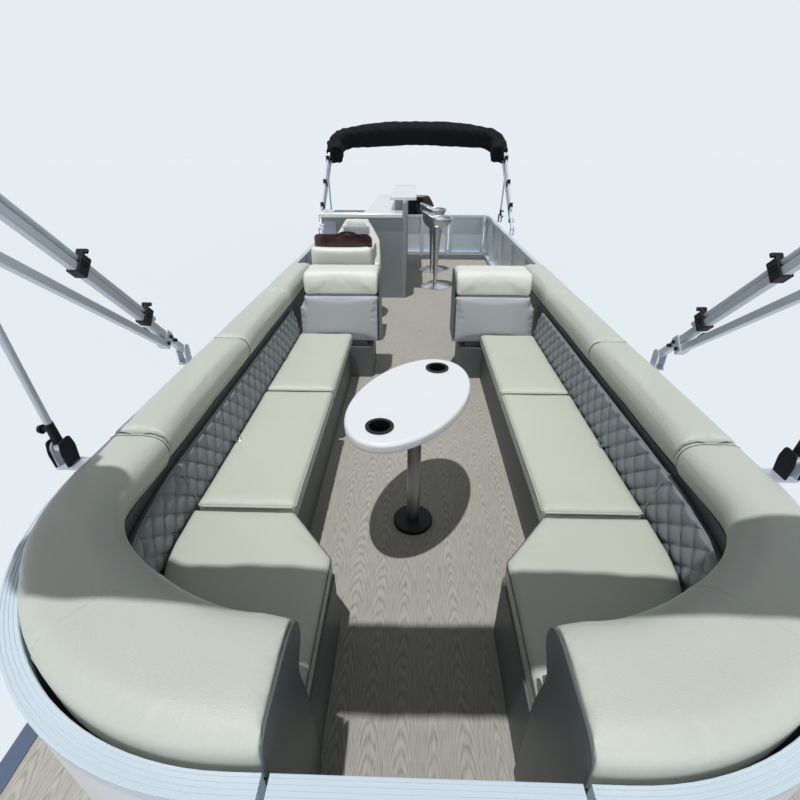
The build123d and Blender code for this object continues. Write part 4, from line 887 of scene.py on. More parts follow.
def joined(meshes: list[Mesh]) -> Mesh:
    """One mesh out of several; the several are freed."""
    whole = bmesh.new()
    for part in meshes:
        data = bpy.data.meshes.new("part")
        part.to_mesh(data)
        part.free()
        whole.from_mesh(data)
        bpy.data.meshes.remove(data)
    return whole


def tube_along(points: list[Vector], radius: float, closed: bool) -> Mesh:
    """Round tube along a line of points.

    Args:
        points: the line.
        radius: the tube's radius.
        closed: whether the line is a loop.

    Returns:
        The tube.
    """
    curve = bpy.data.curves.new("line", "CURVE")
    curve.dimensions = "3D"
    curve.bevel_depth = radius
    curve.bevel_resolution = 2
    curve.use_fill_caps = True
    spline = curve.splines.new("POLY")
    spline.points.add(len(points) - 1)
    for target, point in zip(spline.points, points):
        target.co = (*point, 1)
    spline.use_cyclic_u = closed
    holder = bpy.data.objects.new("line", curve)
    data = bpy.data.meshes.new_from_object(holder)
    mesh = bmesh.new()
    mesh.from_mesh(data)
    bpy.data.objects.remove(holder)
    bpy.data.curves.remove(curve)
    bpy.data.meshes.remove(data)
    return mesh


def cut_through(mesh: Mesh, point: tuple, normal: tuple, clear: bool = False) -> list:
    """Cut a mesh with a plane.

    Args:
        mesh: the mesh.
        point: a point on the plane.
        normal: the plane's normal.
        clear: whether what lies behind the plane goes.

    Returns:
        The vertices and edges on the cut.
    """
    whole = mesh.verts[:] + mesh.edges[:] + mesh.faces[:]
    made = bmesh.ops.bisect_plane(mesh, geom=whole, plane_co=point, plane_no=normal, clear_inner=clear)
    return made["geom_cut"]


def linked_lines(edges: list[bmesh.types.BMEdge]) -> list[list[bmesh.types.BMVert]]:
    """Lines of vertices along edges that join end to end.

    Args:
        edges: the edges; each goes into one line.

    Returns:
        The lines; a loop ends with its first vertex again.
    """
    left = dict.fromkeys(edges)
    lines = []
    while left:
        first = next(iter(left))
        del left[first]
        line = list(first.verts)
        while following := next((edge for edge in line[-1].link_edges if edge in left), None):
            del left[following]
            line.append(following.other_vert(line[-1]))
        lines.append(line)
    return lines


def seam_loops(piece: Piece, point: tuple, normal: tuple) -> list[list[Vector]]:
    """Loops where a plane cuts a piece, with their points thinned out.

    Args:
        piece: the piece to cut.
        point: a point on the plane.
        normal: the plane's normal.

    Returns:
        The loops, each a list of points.
    """
    mesh = bmesh.new()
    mesh.from_mesh(piece.data)
    loops = []
    for line in linked_lines(only(bmesh.types.BMEdge, cut_through(mesh, point, normal))):
        kept = [line[0].co.copy()]
        for vertex in line[1:]:
            if (vertex.co - kept[-1]).length >= SEAM_SPACING:
                kept.append(vertex.co.copy())
        if len(kept) >= SHORTEST_SEAM:
            loops.append(kept)
    mesh.free()
    return loops


def piping(piece: Piece, cuts: list[tuple], radius: float) -> Mesh:
    """Piping sewn round a cushion where planes cut it.

    Args:
        piece: the cushion.
        cuts: planes as pairs of a point and a normal.
        radius: the piping's radius.

    Returns:
        The piping's tubes as one mesh.
    """
    loops = [loop for point, normal in cuts for loop in seam_loops(piece, point, normal)]
    return joined([tube_along(loop, radius, True) for loop in loops])


@dataclass
class Upholstery:
    """Turns a plain solid of the frame into a stuffed vinyl piece."""

    voxel: float = 0.010
    pressure: float = 4.0
    frames: int = 20
    swell: float = 0.009
    start_inset: float = 0.004
    margin: float = 0.001
    quality: int = 3

    def stuff(
        self, name: str, solid: Mesh, surface: Surface, near: str, fill: float = 0.85, soften: int = 0
    ) -> Piece:
        """Remesh a solid, blow it up a little as cloth and smooth it.

        Args:
            name: the cushion's name.
            solid: its plain solid; it is freed.
            surface: its finish.
            near: CAD node that it stands for.
            fill: how tight its stuffing is; not used.
            soften: how many times its edges are smoothed.

        Returns:
            The cushion.
        """
        piece = add_piece(name, solid, surface, near)
        remesh(piece, self.voxel)
        vertices = piece.data.vertices
        rest = [vertex.co.copy() for vertex in vertices]
        low, high = (Vector(side(p[axis] for p in rest) for axis in range(3)) for side in (min, max))
        start = [vertex.co - vertex.normal * self.start_inset for vertex in vertices]
        for vertex, point in zip(vertices, start):
            vertex.co = point
        moved = self.inflate(piece)
        for vertex, first, last in zip(vertices, start, moved):
            shift = last - first
            length = shift.length
            if length > 0:
                shift *= self.swell * math.tanh(length / self.swell) / length
            place = first + shift
            for axis in (0, 1):
                place[axis] = min(max(place[axis], low[axis] - self.margin), high[axis] + self.margin)
            place.z = max(place.z, low.z)
            vertex.co = place
        if soften:
            piece.modifiers.new("Smooth", "SMOOTH").iterations = soften
            bake(piece)
        subdivide(piece)
        log.info("stuffed %s with %d vertices", name, len(piece.data.vertices))
        return piece

    def inflate(self, piece: Piece) -> list[Vector]:
        """Blow a piece up as cloth.

        Args:
            piece: the remeshed cushion; no modifier is left on it.

        Returns:
            The vertices' places at the last frame.
        """
        cloth = piece.modifiers.new("Cloth", "CLOTH")
        cloth.settings.use_pressure = True
        cloth.settings.uniform_pressure_force = self.pressure
        cloth.settings.effector_weights.gravity = 0
        cloth.settings.quality = self.quality
        cloth.collision_settings.use_collision = False
        cloth.point_cache.frame_end = self.frames
        scene = bpy.context.scene
        for index in range(1, self.frames + 1):
            scene.frame_set(index)
        graph = bpy.context.evaluated_depsgraph_get()
        places = [vertex.co.copy() for vertex in piece.evaluated_get(graph).data.vertices]
        piece.modifiers.remove(cloth)
        scene.frame_set(1)
        return places


@dataclass
class FenceLine:
    """Line of the fence: straight across the bow, round the corner and straight aft."""

    corner_radius: float = 0.845
    gate_post: float = 0.300
    rail_width: float = 0.045

    def __post_init__(self) -> None:
        """Read the fence's place from the frame."""
        low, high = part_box("fence_panels")
        self.centre = Vector((high.x - self.corner_radius, low.y + self.corner_radius, 0))
        self.bow_y = low.y
        self.stern_y = high.y
        self.side_x = high.x
        self.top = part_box("fence_port")[1].z

    def outward(self, place: Vector) -> Vector:
        """Run to a place, square to the fence, from the level of the corner's centre."""
        return Vector((max(0.0, place.x - self.centre.x), min(0.0, place.y - self.centre.y), 0))

    def sweep(self, points: list[tuple[float, float]], start_x: float, end_y: float, step: float) -> Mesh:
        """Carry an outline from the bow round the corner and aft.

        Args:
            points: outline as pairs of a distance from the corner's centre and a height.
            start_x: where it starts along the bow.
            end_y: where it ends along the side.
            step: rough length of one stretch.

        Returns:
            The swept mesh.
        """
        sweep = Sweep([Vector((start_x, self.centre.y - out, height)) for out, height in points])
        bow = self.centre.x - start_x
        side = end_y - self.centre.y
        radius = max(out for out, _ in points)
        sweep.run(Vector((bow, 0, 0)), max(1, round(bow / step)))
        sweep.turn(self.centre, math.pi / 2, max(8, round(radius * math.pi / 2 / step)))
        sweep.run(Vector((0, side, 0)), max(1, round(side / step)))
        return sweep.finish()


@dataclass
class Lounge:
    """Seats, quilted backs, bolsters and recliners."""

    line: FenceLine
    upholstery: Upholstery
    quilt_cell: float = 0.098
    quilt_depth: float = 0.014
    quilt_step: float = 0.0075
    quilt_inner: float = 0.552
    quilt_outer: float = 0.604
    quilt_gap: float = 0.022
    quilt_start: float = 0.306
    quilt_fill: float = 0.7
    dip: float = 0.022
    dip_start: float = 0.03
    dip_run: float = 0.25
    lean: float = 0.040
    lean_start: float = 0.93
    seam_y: float = -2.868
    piping_radius: float = 0.0035
    seat_piping: float = 0.0032
    seat_fill: float = 0.85
    seat_depth: float = 0.088
    seat_seam: float = 0.018
    end_face: float = 0.3005
    end_depth: float = -0.006
    frame_outer: float = 0.783
    roll_inner: float = 0.574
    roll_outer: float = 0.802
    roll_foot: float = 0.607
    roll_bottom: float = DECK + 0.590
    roll_top: float = DECK + 0.739
    roll_grid: float = 0.016
    roll_fill: float = 0.9
    swell_start: float = 7.0
    swell_turn: float = 46.0
    corner_swell: float = 0.080
    end_swell: float = 0.062
    arm_bulge: float = 0.014
    bulge_start: float = 45.0
    corner_seam: float = 52.0
    seam_radius: float = 0.0016
    roll_piping: float = 0.0022
    recliner_piping: float = 0.0024
    recliner_seam: float = 0.012
    side_face: float = 0.2925
    pillow_drop: float = 0.020
    bolster_names: tuple[str, ...] = ("bow", "forward", "mid", "aft")

    def build(self) -> None:
        """Make every soft piece of the lounge."""
        self.seats()
        self.bolsters()
        self.quilts()
        self.recliners()
        self.bow_ends()
        self.recliner_sides()
        self.pull_tabs()

    def pair(self, cushion: Piece, near: str, fill: float) -> None:
        """Copy a port cushion to starboard and hide the CAD nodes that both stand for.

        Args:
            cushion: the port cushion.
            near: CAD node that the port cushion stands for.
            fill: how tight the stuffing is; not used.
        """
        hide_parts(near)
        copy = mirrored(cushion, near)
        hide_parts(starboard(near))

    def piped(self, cushion: Piece, near: str, cuts: list[tuple], surface: Surface, radius: float) -> None:
        """Sew piping round a port cushion and its starboard twin.

        Args:
            cushion: the port cushion.
            near: CAD node that it stands for.
            cuts: planes as pairs of a point and a normal.
            surface: finish of the piping, which names it too.
            radius: the piping's radius.
        """
        name = f"{cushion.name.replace('_port', '')}_{surface.name.lower()}"
        add_both(name, piping(cushion, cuts, radius), surface, near)

    def seats(self) -> None:
        """Seat cushions with a piped top edge; those aft of the bow are cut off at the cushion's foot."""
        for place in ("mid", "aft"):
            node = f"seat_{place}_port"
            solid = node_mesh(node)
            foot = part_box(node)[1].z - self.seat_depth
            cut_through(solid, (0, 0, foot), (0, 0, 1), clear=True)
            bmesh.ops.holes_fill(solid, edges=solid.edges)
            self.seat(place, solid, node, Surface.LIGHT_PIPING)
        self.seat("bow", islands("seats_bow")[-1], "seats_bow", Surface.DARK_PIPING)

    def seat(self, place: str, solid: Mesh, node: str, surface: Surface) -> None:
        """Stuff one seat cushion and its twin, and pipe their top edges.

        Args:
            place: where the cushion lies, for its name.
            solid: its plain solid; it is freed.
            node: CAD node that it stands for.
            surface: finish of its piping.
        """
        stuff = self.upholstery.stuff
        cushion = stuff(f"seat_cushion_{place}_port", solid, Surface.SEAT_VINYL, node, self.seat_fill)
        self.pair(cushion, node, self.seat_fill)
        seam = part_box(node)[1].z - self.seat_seam
        self.piped(cushion, node, [((0, 0, seam), (0, 0, 1))], surface, self.seat_piping)

    def roll_section(self) -> list[tuple[float, float]]:
        """Section of a bolster: rolled over inboard and drawn in beneath.

        Returns:
            Pairs of a distance from the corner's centre and a height.
        """
        corners = [
            (self.roll_foot, self.roll_bottom),
            (self.roll_inner, self.roll_bottom + 0.058),
            (self.roll_inner, self.roll_top),
            (self.roll_outer, self.roll_top),
            (self.roll_outer, self.roll_bottom),
        ]
        return rounded(corners, [0.012, (0.03, 0.012), (0.072, 0.085), (0.06, 0.045), 0.012], 8)

    def bolsters(self) -> None:
        """Bolsters, piped at both ends; the bow one also has a seam across its corner."""
        port = [part for part in islands("bolsters") if middle(part).x > 0]
        section = self.roll_section()
        centre = self.line.centre
        for name, solid in zip(self.bolster_names, port):
            bow_x = span(solid, 0)[0]
            start, end = span(solid, 1)
            solid.free()
            if name == "bow":
                mesh = self.line.sweep(section, bow_x, end, self.roll_grid)
                self.swell_inboard(mesh)
            else:
                outline = [Vector((centre.x + out, start, height)) for out, height in section]
                mesh = extruded(outline, (0, end - start, 0), round((end - start) / self.roll_grid))
            stuff = self.upholstery.stuff
            cushion = stuff(f"bolster_{name}_port", mesh, Surface.VINYL, "bolsters", self.roll_fill)
            self.pair(cushion, "bolsters", self.roll_fill)
            across = [end - 0.005, start + 0.005]
            if name == "bow":
                across = [end - 0.005, end - 0.030]
                turned = math.radians(self.corner_seam)
                corner = (tuple(centre), (math.sin(turned), math.cos(turned), 0))
                rim = ((bow_x + 0.004, 0, 0), (1, 0, 0))
                self.piped(cushion, "bolsters", [rim], Surface.EDGE_PIPING, self.seat_piping)
                self.piped(cushion, "bolsters", [corner], Surface.LIGHT_PIPING, self.seam_radius)
            cuts = [((0, y, 0), (0, 1, 0)) for y in across]
            self.piped(cushion, "bolsters", cuts, Surface.DARK_PIPING, self.roll_piping)

    def swell_inboard(self, mesh: Mesh) -> None:
        """Widen the bow bolster inboard round the corner, and less at its end by the gate.

        Args:
            mesh: the bow bolster; its outer face stays.
        """
        centre = self.line.centre
        for vertex in mesh.verts:
            offset = self.line.outward(vertex.co)
            if offset.length == 0:
                continue
            turned = math.degrees(math.atan2(-offset.y, offset.x))
            past = clamped((centre.x - vertex.co.x) / (centre.x - self.end_face))
            bulge = math.sin(math.pi * clamped((turned - self.bulge_start) / (90 - self.bulge_start)))
            amount = self.corner_swell * eased((turned - self.swell_start) / self.swell_turn)
            amount += self.arm_bulge * bulge - (self.corner_swell - self.end_swell) * past
            depth = (self.roll_outer - offset.length) / (self.roll_outer - self.roll_inner)
            vertex.co -= offset.normalized() * amount * clamped(depth)

    def quilts(self) -> None:
        """Quilted backs: a fine band whose inner face is pushed out between the stitch lines."""
        low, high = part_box("quilted_backs")
        top = high.z - self.quilt_gap
        rows = round((top - low.z) / self.quilt_step)
        outline = [(self.quilt_inner, height) for height in evenly(low.z, top, rows)]
        outline += [(self.quilt_outer, top - 0.004), (self.quilt_outer, low.z)]
        mesh = self.line.sweep(outline, self.quilt_start, high.y, self.quilt_step)
        puffs = mesh.verts.layers.float.new(PUFF)
        for vertex in mesh.verts:
            self.push_stitch(vertex, puffs, low.z)
            vertex.co.z -= self.corner_dip(vertex.co) * (vertex.co.z - low.z) / (top - low.z)
        self.lean_back(mesh)
        port = add_piece("quilt_port", mesh, Surface.QUILT_VINYL, "quilted_backs")
        self.pair(port, "quilted_backs", self.quilt_fill)
        rim = [(self.quilt_inner + 0.004 + out, top + rise) for out, rise in ring(self.piping_radius, 8)]
        cord = self.line.sweep(rim, self.quilt_start, high.y, 0.05)
        for vertex in cord.verts:
            vertex.co.z -= self.corner_dip(vertex.co)
        face_x = self.line.centre.x + self.quilt_inner - self.quilt_depth * 0.6
        seam = [Vector((face_x, self.seam_y, height)) for height in evenly(low.z, top, 8)]
        cords = joined([cord, tube_along(seam, self.piping_radius, False)])
        self.lean_back(cords)
        add_both("quilt_piping", cords, Surface.EDGE_PIPING, "quilted_backs")

    def lean_back(self, mesh: Mesh) -> None:
        """Lean the quilt's face outboard towards its top.

        Args:
            mesh: the quilt or its piping; points at the outer face stay.
        """
        for vertex in mesh.verts:
            offset = self.line.outward(vertex.co)
            if offset.length == 0:
                continue
            rise = max(0.0, vertex.co.z - self.lean_start) / (self.roll_bottom - self.lean_start)
            depth = (self.quilt_outer - offset.length) / (self.quilt_outer - self.quilt_inner)
            vertex.co += offset.normalized() * self.lean * rise**1.4 * clamped(depth)

    def corner_dip(self, place: Vector) -> float:
        """How far the quilt's top edge is lower round the bow corner."""
        return self.dip * eased((self.seam_y - self.dip_start - place.y) / self.dip_run)

    def push_stitch(self, vertex: bmesh.types.BMVert, puffs: bmesh.types.BMLayerItem, bottom: float) -> None:
        """Move one point of the quilt's inner face by the height of its diamond.

        Args:
            vertex: the point.
            puffs: layer that keeps the height, from 0 at a stitch to 1.
            bottom: height of the quilt's lower edge.
        """
        offset = vertex.co - self.line.centre
        outward = self.line.outward(vertex.co)
        if abs(outward.length - self.quilt_inner) > 0.004:
            vertex[puffs] = 0.4
            return
        turned = math.atan2(outward.x, -outward.y)
        along = self.quilt_inner * turned + max(0.0, offset.y) + min(0.0, offset.x)
        rise = vertex.co.z - bottom
        first = math.pi * (along + rise) / self.quilt_cell
        second = math.pi * (along - rise) / self.quilt_cell
        vertex[puffs] = abs(math.sin(first) * math.sin(second)) ** 0.4
        vertex.co -= outward.normalized() * (vertex[puffs] * self.quilt_depth)

    def recliners(self) -> None:
        """Grey recliner backs and the pillows on them."""
        for node, surface, seam in (
            ("recliner_backs", Surface.GREY_VINYL, Surface.DARK_PIPING),
            ("recliner_pillows", Surface.PILLOW_VINYL, Surface.LIGHT_PIPING),
        ):
            solid = islands(node)[-1]
            sides = span(solid, 0)
            if node == "recliner_pillows":
                solid = self.pillow(sides)
            stuff = self.upholstery.stuff
            cushion = stuff(f"{node[:-1]}_port", solid, surface, node, self.seat_fill, soften=3)
            self.pair(cushion, node, self.seat_fill)
            places = (sides[0] + self.recliner_seam, sides[1] - self.recliner_seam)
            cuts = [((x, 0, 0), (1, 0, 0)) for x in places]
            self.piped(cushion, node, cuts, seam, self.recliner_piping)

    def pillow(self, sides: tuple[float, float]) -> Mesh:
        """Head pillow before stuffing: a thick roll, high in front and rounded at its ends.

        Args:
            sides: where it begins and ends across the boat.

        Returns:
            The pillow's plain shape.
        """
        low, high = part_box("recliner_pillows")
        top = high.z - self.pillow_drop
        corners = [(low.y, low.z), (low.y + 0.012, top), (high.y, top), (high.y, low.z)]
        section = rounded(corners, [0.015, (0.09, 0.085), 0.04, 0.015], 8)
        mesh = extruded([Vector((sides[0], y, z)) for y, z in section], (sides[1] - sides[0], 0, 0), 12)
        rims = [edge for edge in mesh.edges if any(len(face.verts) > 4 for face in edge.link_faces)]
        bevel(mesh, rims, 0.022, 3)
        return mesh

    def bow_ends(self) -> None:
        """Dark panels on the bow ends of the bolsters and the backs, with piping round them."""
        inner = self.roll_inner - self.end_swell + 0.004
        outer = self.roll_outer - 0.012
        top = self.roll_top - 0.004
        foot = DECK + 0.004
        corners = [
            (self.frame_outer, foot),
            (self.frame_outer, self.roll_bottom),
            (outer, self.roll_bottom + 0.014),
            (outer, top),
            (inner, top),
            (inner, self.roll_bottom + 0.050),
            (self.quilt_inner + 0.018, self.roll_bottom - 0.010),
            (self.quilt_inner - 0.014, DECK + 0.40),
            (self.quilt_inner - 0.014, foot),
        ]
        radii = [0.004, 0.004, 0.004, (0.045, 0.06), (0.10, 0.072), 0.02, 0.03, 0.06, 0.004]
        points = [Vector((self.end_face, self.line.centre.y - out, z)) for out, z in rounded(corners, radii)]
        panel = plate(points, Vector((self.end_depth, 0, 0)), 0.002)
        add_both("bow_end", panel, Surface.END_VINYL, "backrest_frames", smooth=False)
        rim = tube_along([point + Vector((self.end_depth * 0.6, 0, 0)) for point in points], 0.0026, True)
        add_both("bow_end_piping", rim, Surface.DARK_PIPING, "backrest_frames")

    def recliner_sides(self) -> None:
        """Dark panels on the recliners' inboard sides."""
        low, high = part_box("recliner_backs")
        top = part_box("recliner_pillows")[1].z - 0.014 - self.pillow_drop
        corners = [
            (low.y + 0.006, low.z + 0.012),
            (low.y + 0.072, high.z),
            (-0.882, top),
            (-0.600, top),
            (-0.618, high.z),
            (-0.645, low.z + 0.012),
        ]
        outline = rounded(corners, [0.02, 0.0, 0.06, 0.06, 0.0, 0.02])
        points = [Vector((self.side_face, y, z)) for y, z in outline]
        panel = plate(points, Vector((self.end_depth, 0, 0)), 0.0015)
        add_both("recliner_side", panel, Surface.END_VINYL, "recliner_backs", smooth=False)

    def pull_tabs(self) -> None:
        """Chrome pull tabs where the seats meet the quilt."""
        x = self.line.centre.x + 0.545
        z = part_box("seat_mid_port")[1].z
        for index, (node, y) in enumerate((("seat_mid_port", -2.44), ("seat_aft_port", -1.47))):
            tab = block((x - 0.045, y - 0.011, z - 0.002), (x - 0.002, y + 0.011, z + 0.004), 0.0015)
            eye = rod((x - 0.036, y - 0.009, z + 0.006), (x - 0.036, y + 0.009, z + 0.006), 0.005)
            add_both(f"pull_tab_{index}", joined([tab, eye]), Surface.CHROME, node)


@dataclass
class Rails:
    """Grooved caps on the top rails, and the snaps of the cover."""

    line: FenceLine
    ribs: int = 5
    rib_height: float = 0.0022
    groove: float = 0.0026
    chamfer: float = 0.0006
    bow_gate_half: float = 0.284
    stern_gate_length: float = 0.579
    inset: float = 0.001

    def profile(self) -> list[tuple[float, float]]:
        """Outline of the ribbed cap, as distances inward from the rail's outer face and heights."""
        pitch = self.line.rail_width / self.ribs
        base = self.line.top + 0.0002
        points = [(self.inset, base)]
        for rib in range(self.ribs):
            start = rib * pitch + self.groove / 2
            end = (rib + 1) * pitch - self.groove / 2
            points.append((start, base + 0.0004))
            points.append((start + self.chamfer, base + self.rib_height))
            points.append((end - self.chamfer, base + self.rib_height))
            points.append((end, base + 0.0004))
        points.append((self.line.rail_width - self.inset, base))
        return points

    def build(self) -> None:
        """Lay the caps on both sides, the stern and the gates."""
        outline = [(self.line.corner_radius - out, height) for out, height in self.profile()]
        mesh = self.line.sweep(outline, self.line.gate_post, self.line.stern_y, 0.06)
        add_both("rail_cap", mesh, Surface.RAIL, "fence_port", smooth=False)
        gate_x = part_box("stern_gate")[0].x
        low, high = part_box("fence_stern")
        for node, y, way, start, end in (
            ("bow_gate", self.line.bow_y, 1, -self.bow_gate_half, self.bow_gate_half),
            ("stern_gate", self.line.stern_y, -1, gate_x + self.inset, gate_x + self.stern_gate_length),
            ("fence_stern", high.y, -1, low.x + self.inset, high.x - self.inset),
        ):
            points = [Vector((start, y + way * out, height)) for out, height in self.profile()]
            cap = extruded(points, (end - start, 0, 0))
            add_piece(f"rail_cap_{node}", cap, Surface.RAIL, node, smooth=False)
        self.snaps()

    def snaps(self) -> None:
        """Small black cover snaps on the outer side of the rails."""
        for side, name, places in (
            (1, "port", (-1.30, -0.16, 0.98, 2.30)),
            (-1, "starboard", (-3.02, -1.30, 0.98, 2.30)),
        ):
            snaps = []
            for y in places:
                foot = Vector((side * (self.line.side_x - 0.001), y, self.line.top - 0.012))
                snaps.append(rod(foot, foot + Vector((side * 0.012, 0, 0)), 0.009, 0.007, 16))
            add_piece(f"rail_snaps_{name}", joined(snaps), Surface.BLACK, f"fence_{name}")


@dataclass
class Legs:
    """Where the legs of one folded top lie, in lengths along the port leg and below it."""

    name: str
    hinge_y: float
    direction: int
    elevation: float
    foot_y: float
    sock: tuple[float, float]
    x: float = 1.236
    strut_x: float = 1.271
    pin_z: float = 1.270

    def __post_init__(self) -> None:
        """Work out the hinge pin and the directions across, along and under the leg."""
        angle = math.radians(self.elevation)
        self.across = Vector((1, 0, 0))
        self.along = Vector((0, self.direction * math.cos(angle), math.sin(angle)))
        self.under = Vector((0, self.direction * math.sin(angle), -math.cos(angle)))
        self.pin = Vector((self.x, self.hinge_y, self.pin_z))


FOLDED_TOPS = (
    Legs("front", -2.108, -1, 45, -2.982, (1.58, 1.80)),
    Legs("aft", 1.839, 1, 38, 2.971, (1.35, 1.57)),
)


@dataclass
class Boot:
    """Canvas boot of one folded top, which swallows the tips of the legs."""

    legs: Legs
    voxel: float = 0.020
    crown: float = 0.070
    crown_reach: float = 1.0
    crown_low: float = 0.35
    ripple_depth: tuple[float, float] = (0.003, 0.007)
    crease_depth: tuple[float, float] = (0.004, 0.010)
    long_depth: float = 0.004
    fill: float = 0.6

    def build(self) -> None:
        """Make the canvas boot."""
        node = f"bimini_{self.legs.name}_boot"
        mesh = joined([node_mesh(node), self.sock(1), self.sock(-1)])
        boot = add_piece(f"boot_{self.legs.name}", mesh, Surface.CANVAS, node)
        remesh(boot, self.voxel)
        low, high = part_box(node)
        normals = [vertex.normal.copy() for vertex in boot.data.vertices]
        for vertex, normal in zip(boot.data.vertices, normals):
            vertex.co += normal * self.fold(vertex.co, high.x)
            share = 1 - (vertex.co.x / self.crown_reach) ** 2
            if share > 0:
                thickness = (vertex.co.z - low.z) / (high.z - low.z)
                lift = self.crown_low + (1 - self.crown_low) * thickness
                vertex.co.z += share * self.crown * lift
        subdivide(boot)
        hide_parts(node)

    def sock(self, side: int) -> Mesh:
        """Canvas drawn over one side's leg tips, before it joins the boot.

        Args:
            side: 1 for port, -1 for starboard.

        Returns:
            A tapered block round the leg.
        """
        legs = self.legs
        start, end = legs.sock
        mesh = block((-0.042, start, -0.050), (0.042, end, 0.185), 0.025, 3)
        pin = Vector((side * legs.x, legs.hinge_y, legs.pin_z))
        return placed(mesh, pin, (legs.across, legs.along, legs.under))

    def fold(self, place: Vector, reach: float) -> float:
        """How far the wrinkles, which gather towards the corners, move one point of the canvas out.

        Args:
            place: the point.
            reach: half the boot's width.

        Returns:
            The shift along the canvas's normal.
        """
        x, y, z = place
        corner = min(1.0, abs(x) / reach) ** 3
        ripple = math.sin(x * 41 + z * 55) * 0.5 + math.sin(x * 17 - y * 38 + 1.3) * 0.5
        crease = abs(math.sin(x * 23 + z * 31 + y * 12)) ** 0.35 - 0.8
        long_wave = math.sin(x * 6.2 + y * 9) - 1
        shift = long_wave * self.long_depth
        for wave, (plain, gathered) in ((ripple, self.ripple_depth), (crease, self.crease_depth)):
            shift += wave * (plain + gathered * corner)
        return shift


@dataclass
class Hardware:
    """Black clamps, knobs and bolts on the legs of one folded top."""

    legs: Legs
    clamp_places: tuple[float, ...] = (0.330, 0.740, 1.180)
    clamp_length: float = 0.044
    clamp_play: float = 0.0015
    wrap_half: float = 0.0236
    wrap_outboard: float = 0.0222
    wrap_low: float = 0.0207
    wrap_high: float = 0.0546
    strut_place: float = 1.310
    web_place: float = 0.150
    jaw_inner: float = 0.0205
    jaw_outer: float = 0.0255

    def on_leg(self, mesh: Mesh, along: float, under: float = 0.0) -> Mesh:
        """Move a mesh drawn about the leg's axes to its place on the port leg.

        Args:
            mesh: drawn with X across, Y along the leg and Z above it.
            along: distance from the hinge pin.
            under: distance below the leg.

        Returns:
            The same mesh.
        """
        legs = self.legs
        origin = legs.pin + legs.along * along + legs.under * under
        return placed(mesh, origin, (legs.across, legs.along, -legs.under))

    def clamp(self) -> Mesh:
        """Split clamp round the leg and its brace, with a wing knob; the strut passes its flush side."""
        half = self.wrap_half
        flush = self.wrap_outboard
        top = self.wrap_high
        length = self.clamp_length + 2 * self.clamp_play
        mid = length / 2
        return joined([
            block((-half, 0, -self.wrap_low), (flush, length, top), 0.0015),
            block((-half - 0.004, 0.008, 0.014), (flush, length - 0.008, 0.022), 0.0015),
            block((-half - 0.004, 0.008, 0.026), (flush, length - 0.008, 0.034), 0.0015),
            rod((0, mid, top), (0, mid, top + 0.016), 0.008),
            block((-0.022, mid - 0.006, top + 0.012), (0.022, mid + 0.006, top + 0.030), 0.004),
        ])

    def bolts(self) -> Mesh:
        """Bolt heads and spacer of the lower bracket, and the bolt heads of the brace's upper end."""
        web = self.web_place
        parts = [self.on_leg(block((-0.012, -0.022, -0.008), (0.012, 0.022, 0.008), 0.003), 0.330, 0.043)]
        for half, radius, along, under in (
            (0.030, 0.009, web + 0.012, 0.0),
            (0.030, 0.009, web + 0.022, 0.038),
            (0.030, 0.009, web - 0.03, 0.0),
            (0.0145, 0.006, 1.244, -0.034),
            (0.0145, 0.006, 1.262, -0.034),
        ):
            parts.append(self.on_leg(rod((-half, 0, 0), (half, 0, 0), radius, sides=12), along, under))
        return joined(parts)

    def strut_socket(self) -> Mesh:
        """Black socket with its knob on the port strut's foot."""
        legs = self.legs
        foot = Vector((legs.strut_x, legs.foot_y, legs.pin_z))
        head = Vector((legs.strut_x, *(legs.pin + legs.along * self.strut_place).yz))
        way = (head - foot).normalized()
        knob = foot + way * 0.078
        return joined([
            rod(foot + way * 0.022, foot + way * 0.105, 0.0165, 0.0145),
            rod(knob + legs.across * 0.012, knob + legs.across * 0.034, 0.007),
            rod(knob + legs.across * 0.030, knob + legs.across * 0.042, 0.017, 0.014),
        ])

    def jaw(self) -> Mesh:
        """Black jaw, two plates and a knob, that stands open on the port rail round the strut's foot."""
        legs = self.legs
        corners = [
            (-0.030, 1.196),
            (0.030, 1.196),
            (0.036, 1.262),
            (0.026, 1.306),
            (-0.026, 1.306),
            (-0.036, 1.262),
        ]
        outline = rounded(corners, [0.004, 0.004, 0.012, 0.012, 0.012, 0.012])
        parts = []
        for side in (-1, 1):
            inner = legs.strut_x + side * self.jaw_inner
            points = [Vector((inner, legs.foot_y + y, z)) for y, z in outline]
            parts.append(plate(points, Vector((side * (self.jaw_outer - self.jaw_inner), 0, 0)), 0.0015))
        knob = Vector((legs.strut_x + self.jaw_outer, legs.foot_y, legs.pin_z))
        parts.append(rod(knob, knob + legs.across * 0.0185, 0.012))
        return joined(parts)

    def build(self) -> None:
        """Fit both sides of the top."""
        name = self.legs.name
        clamps = [self.on_leg(self.clamp(), place - self.clamp_play) for place in self.clamp_places]
        for label, mesh, node in (
            ("clamps", joined(clamps), f"bimini_{name}_frame"),
            ("bolts", self.bolts(), f"bimini_{name}_frame"),
            ("strut_sockets", self.strut_socket(), f"bimini_{name}_struts"),
            ("jaws", self.jaw(), "bimini_mounts"),
        ):
            add_both(f"{name}_{label}", mesh, Surface.BLACK, node, smooth=False)


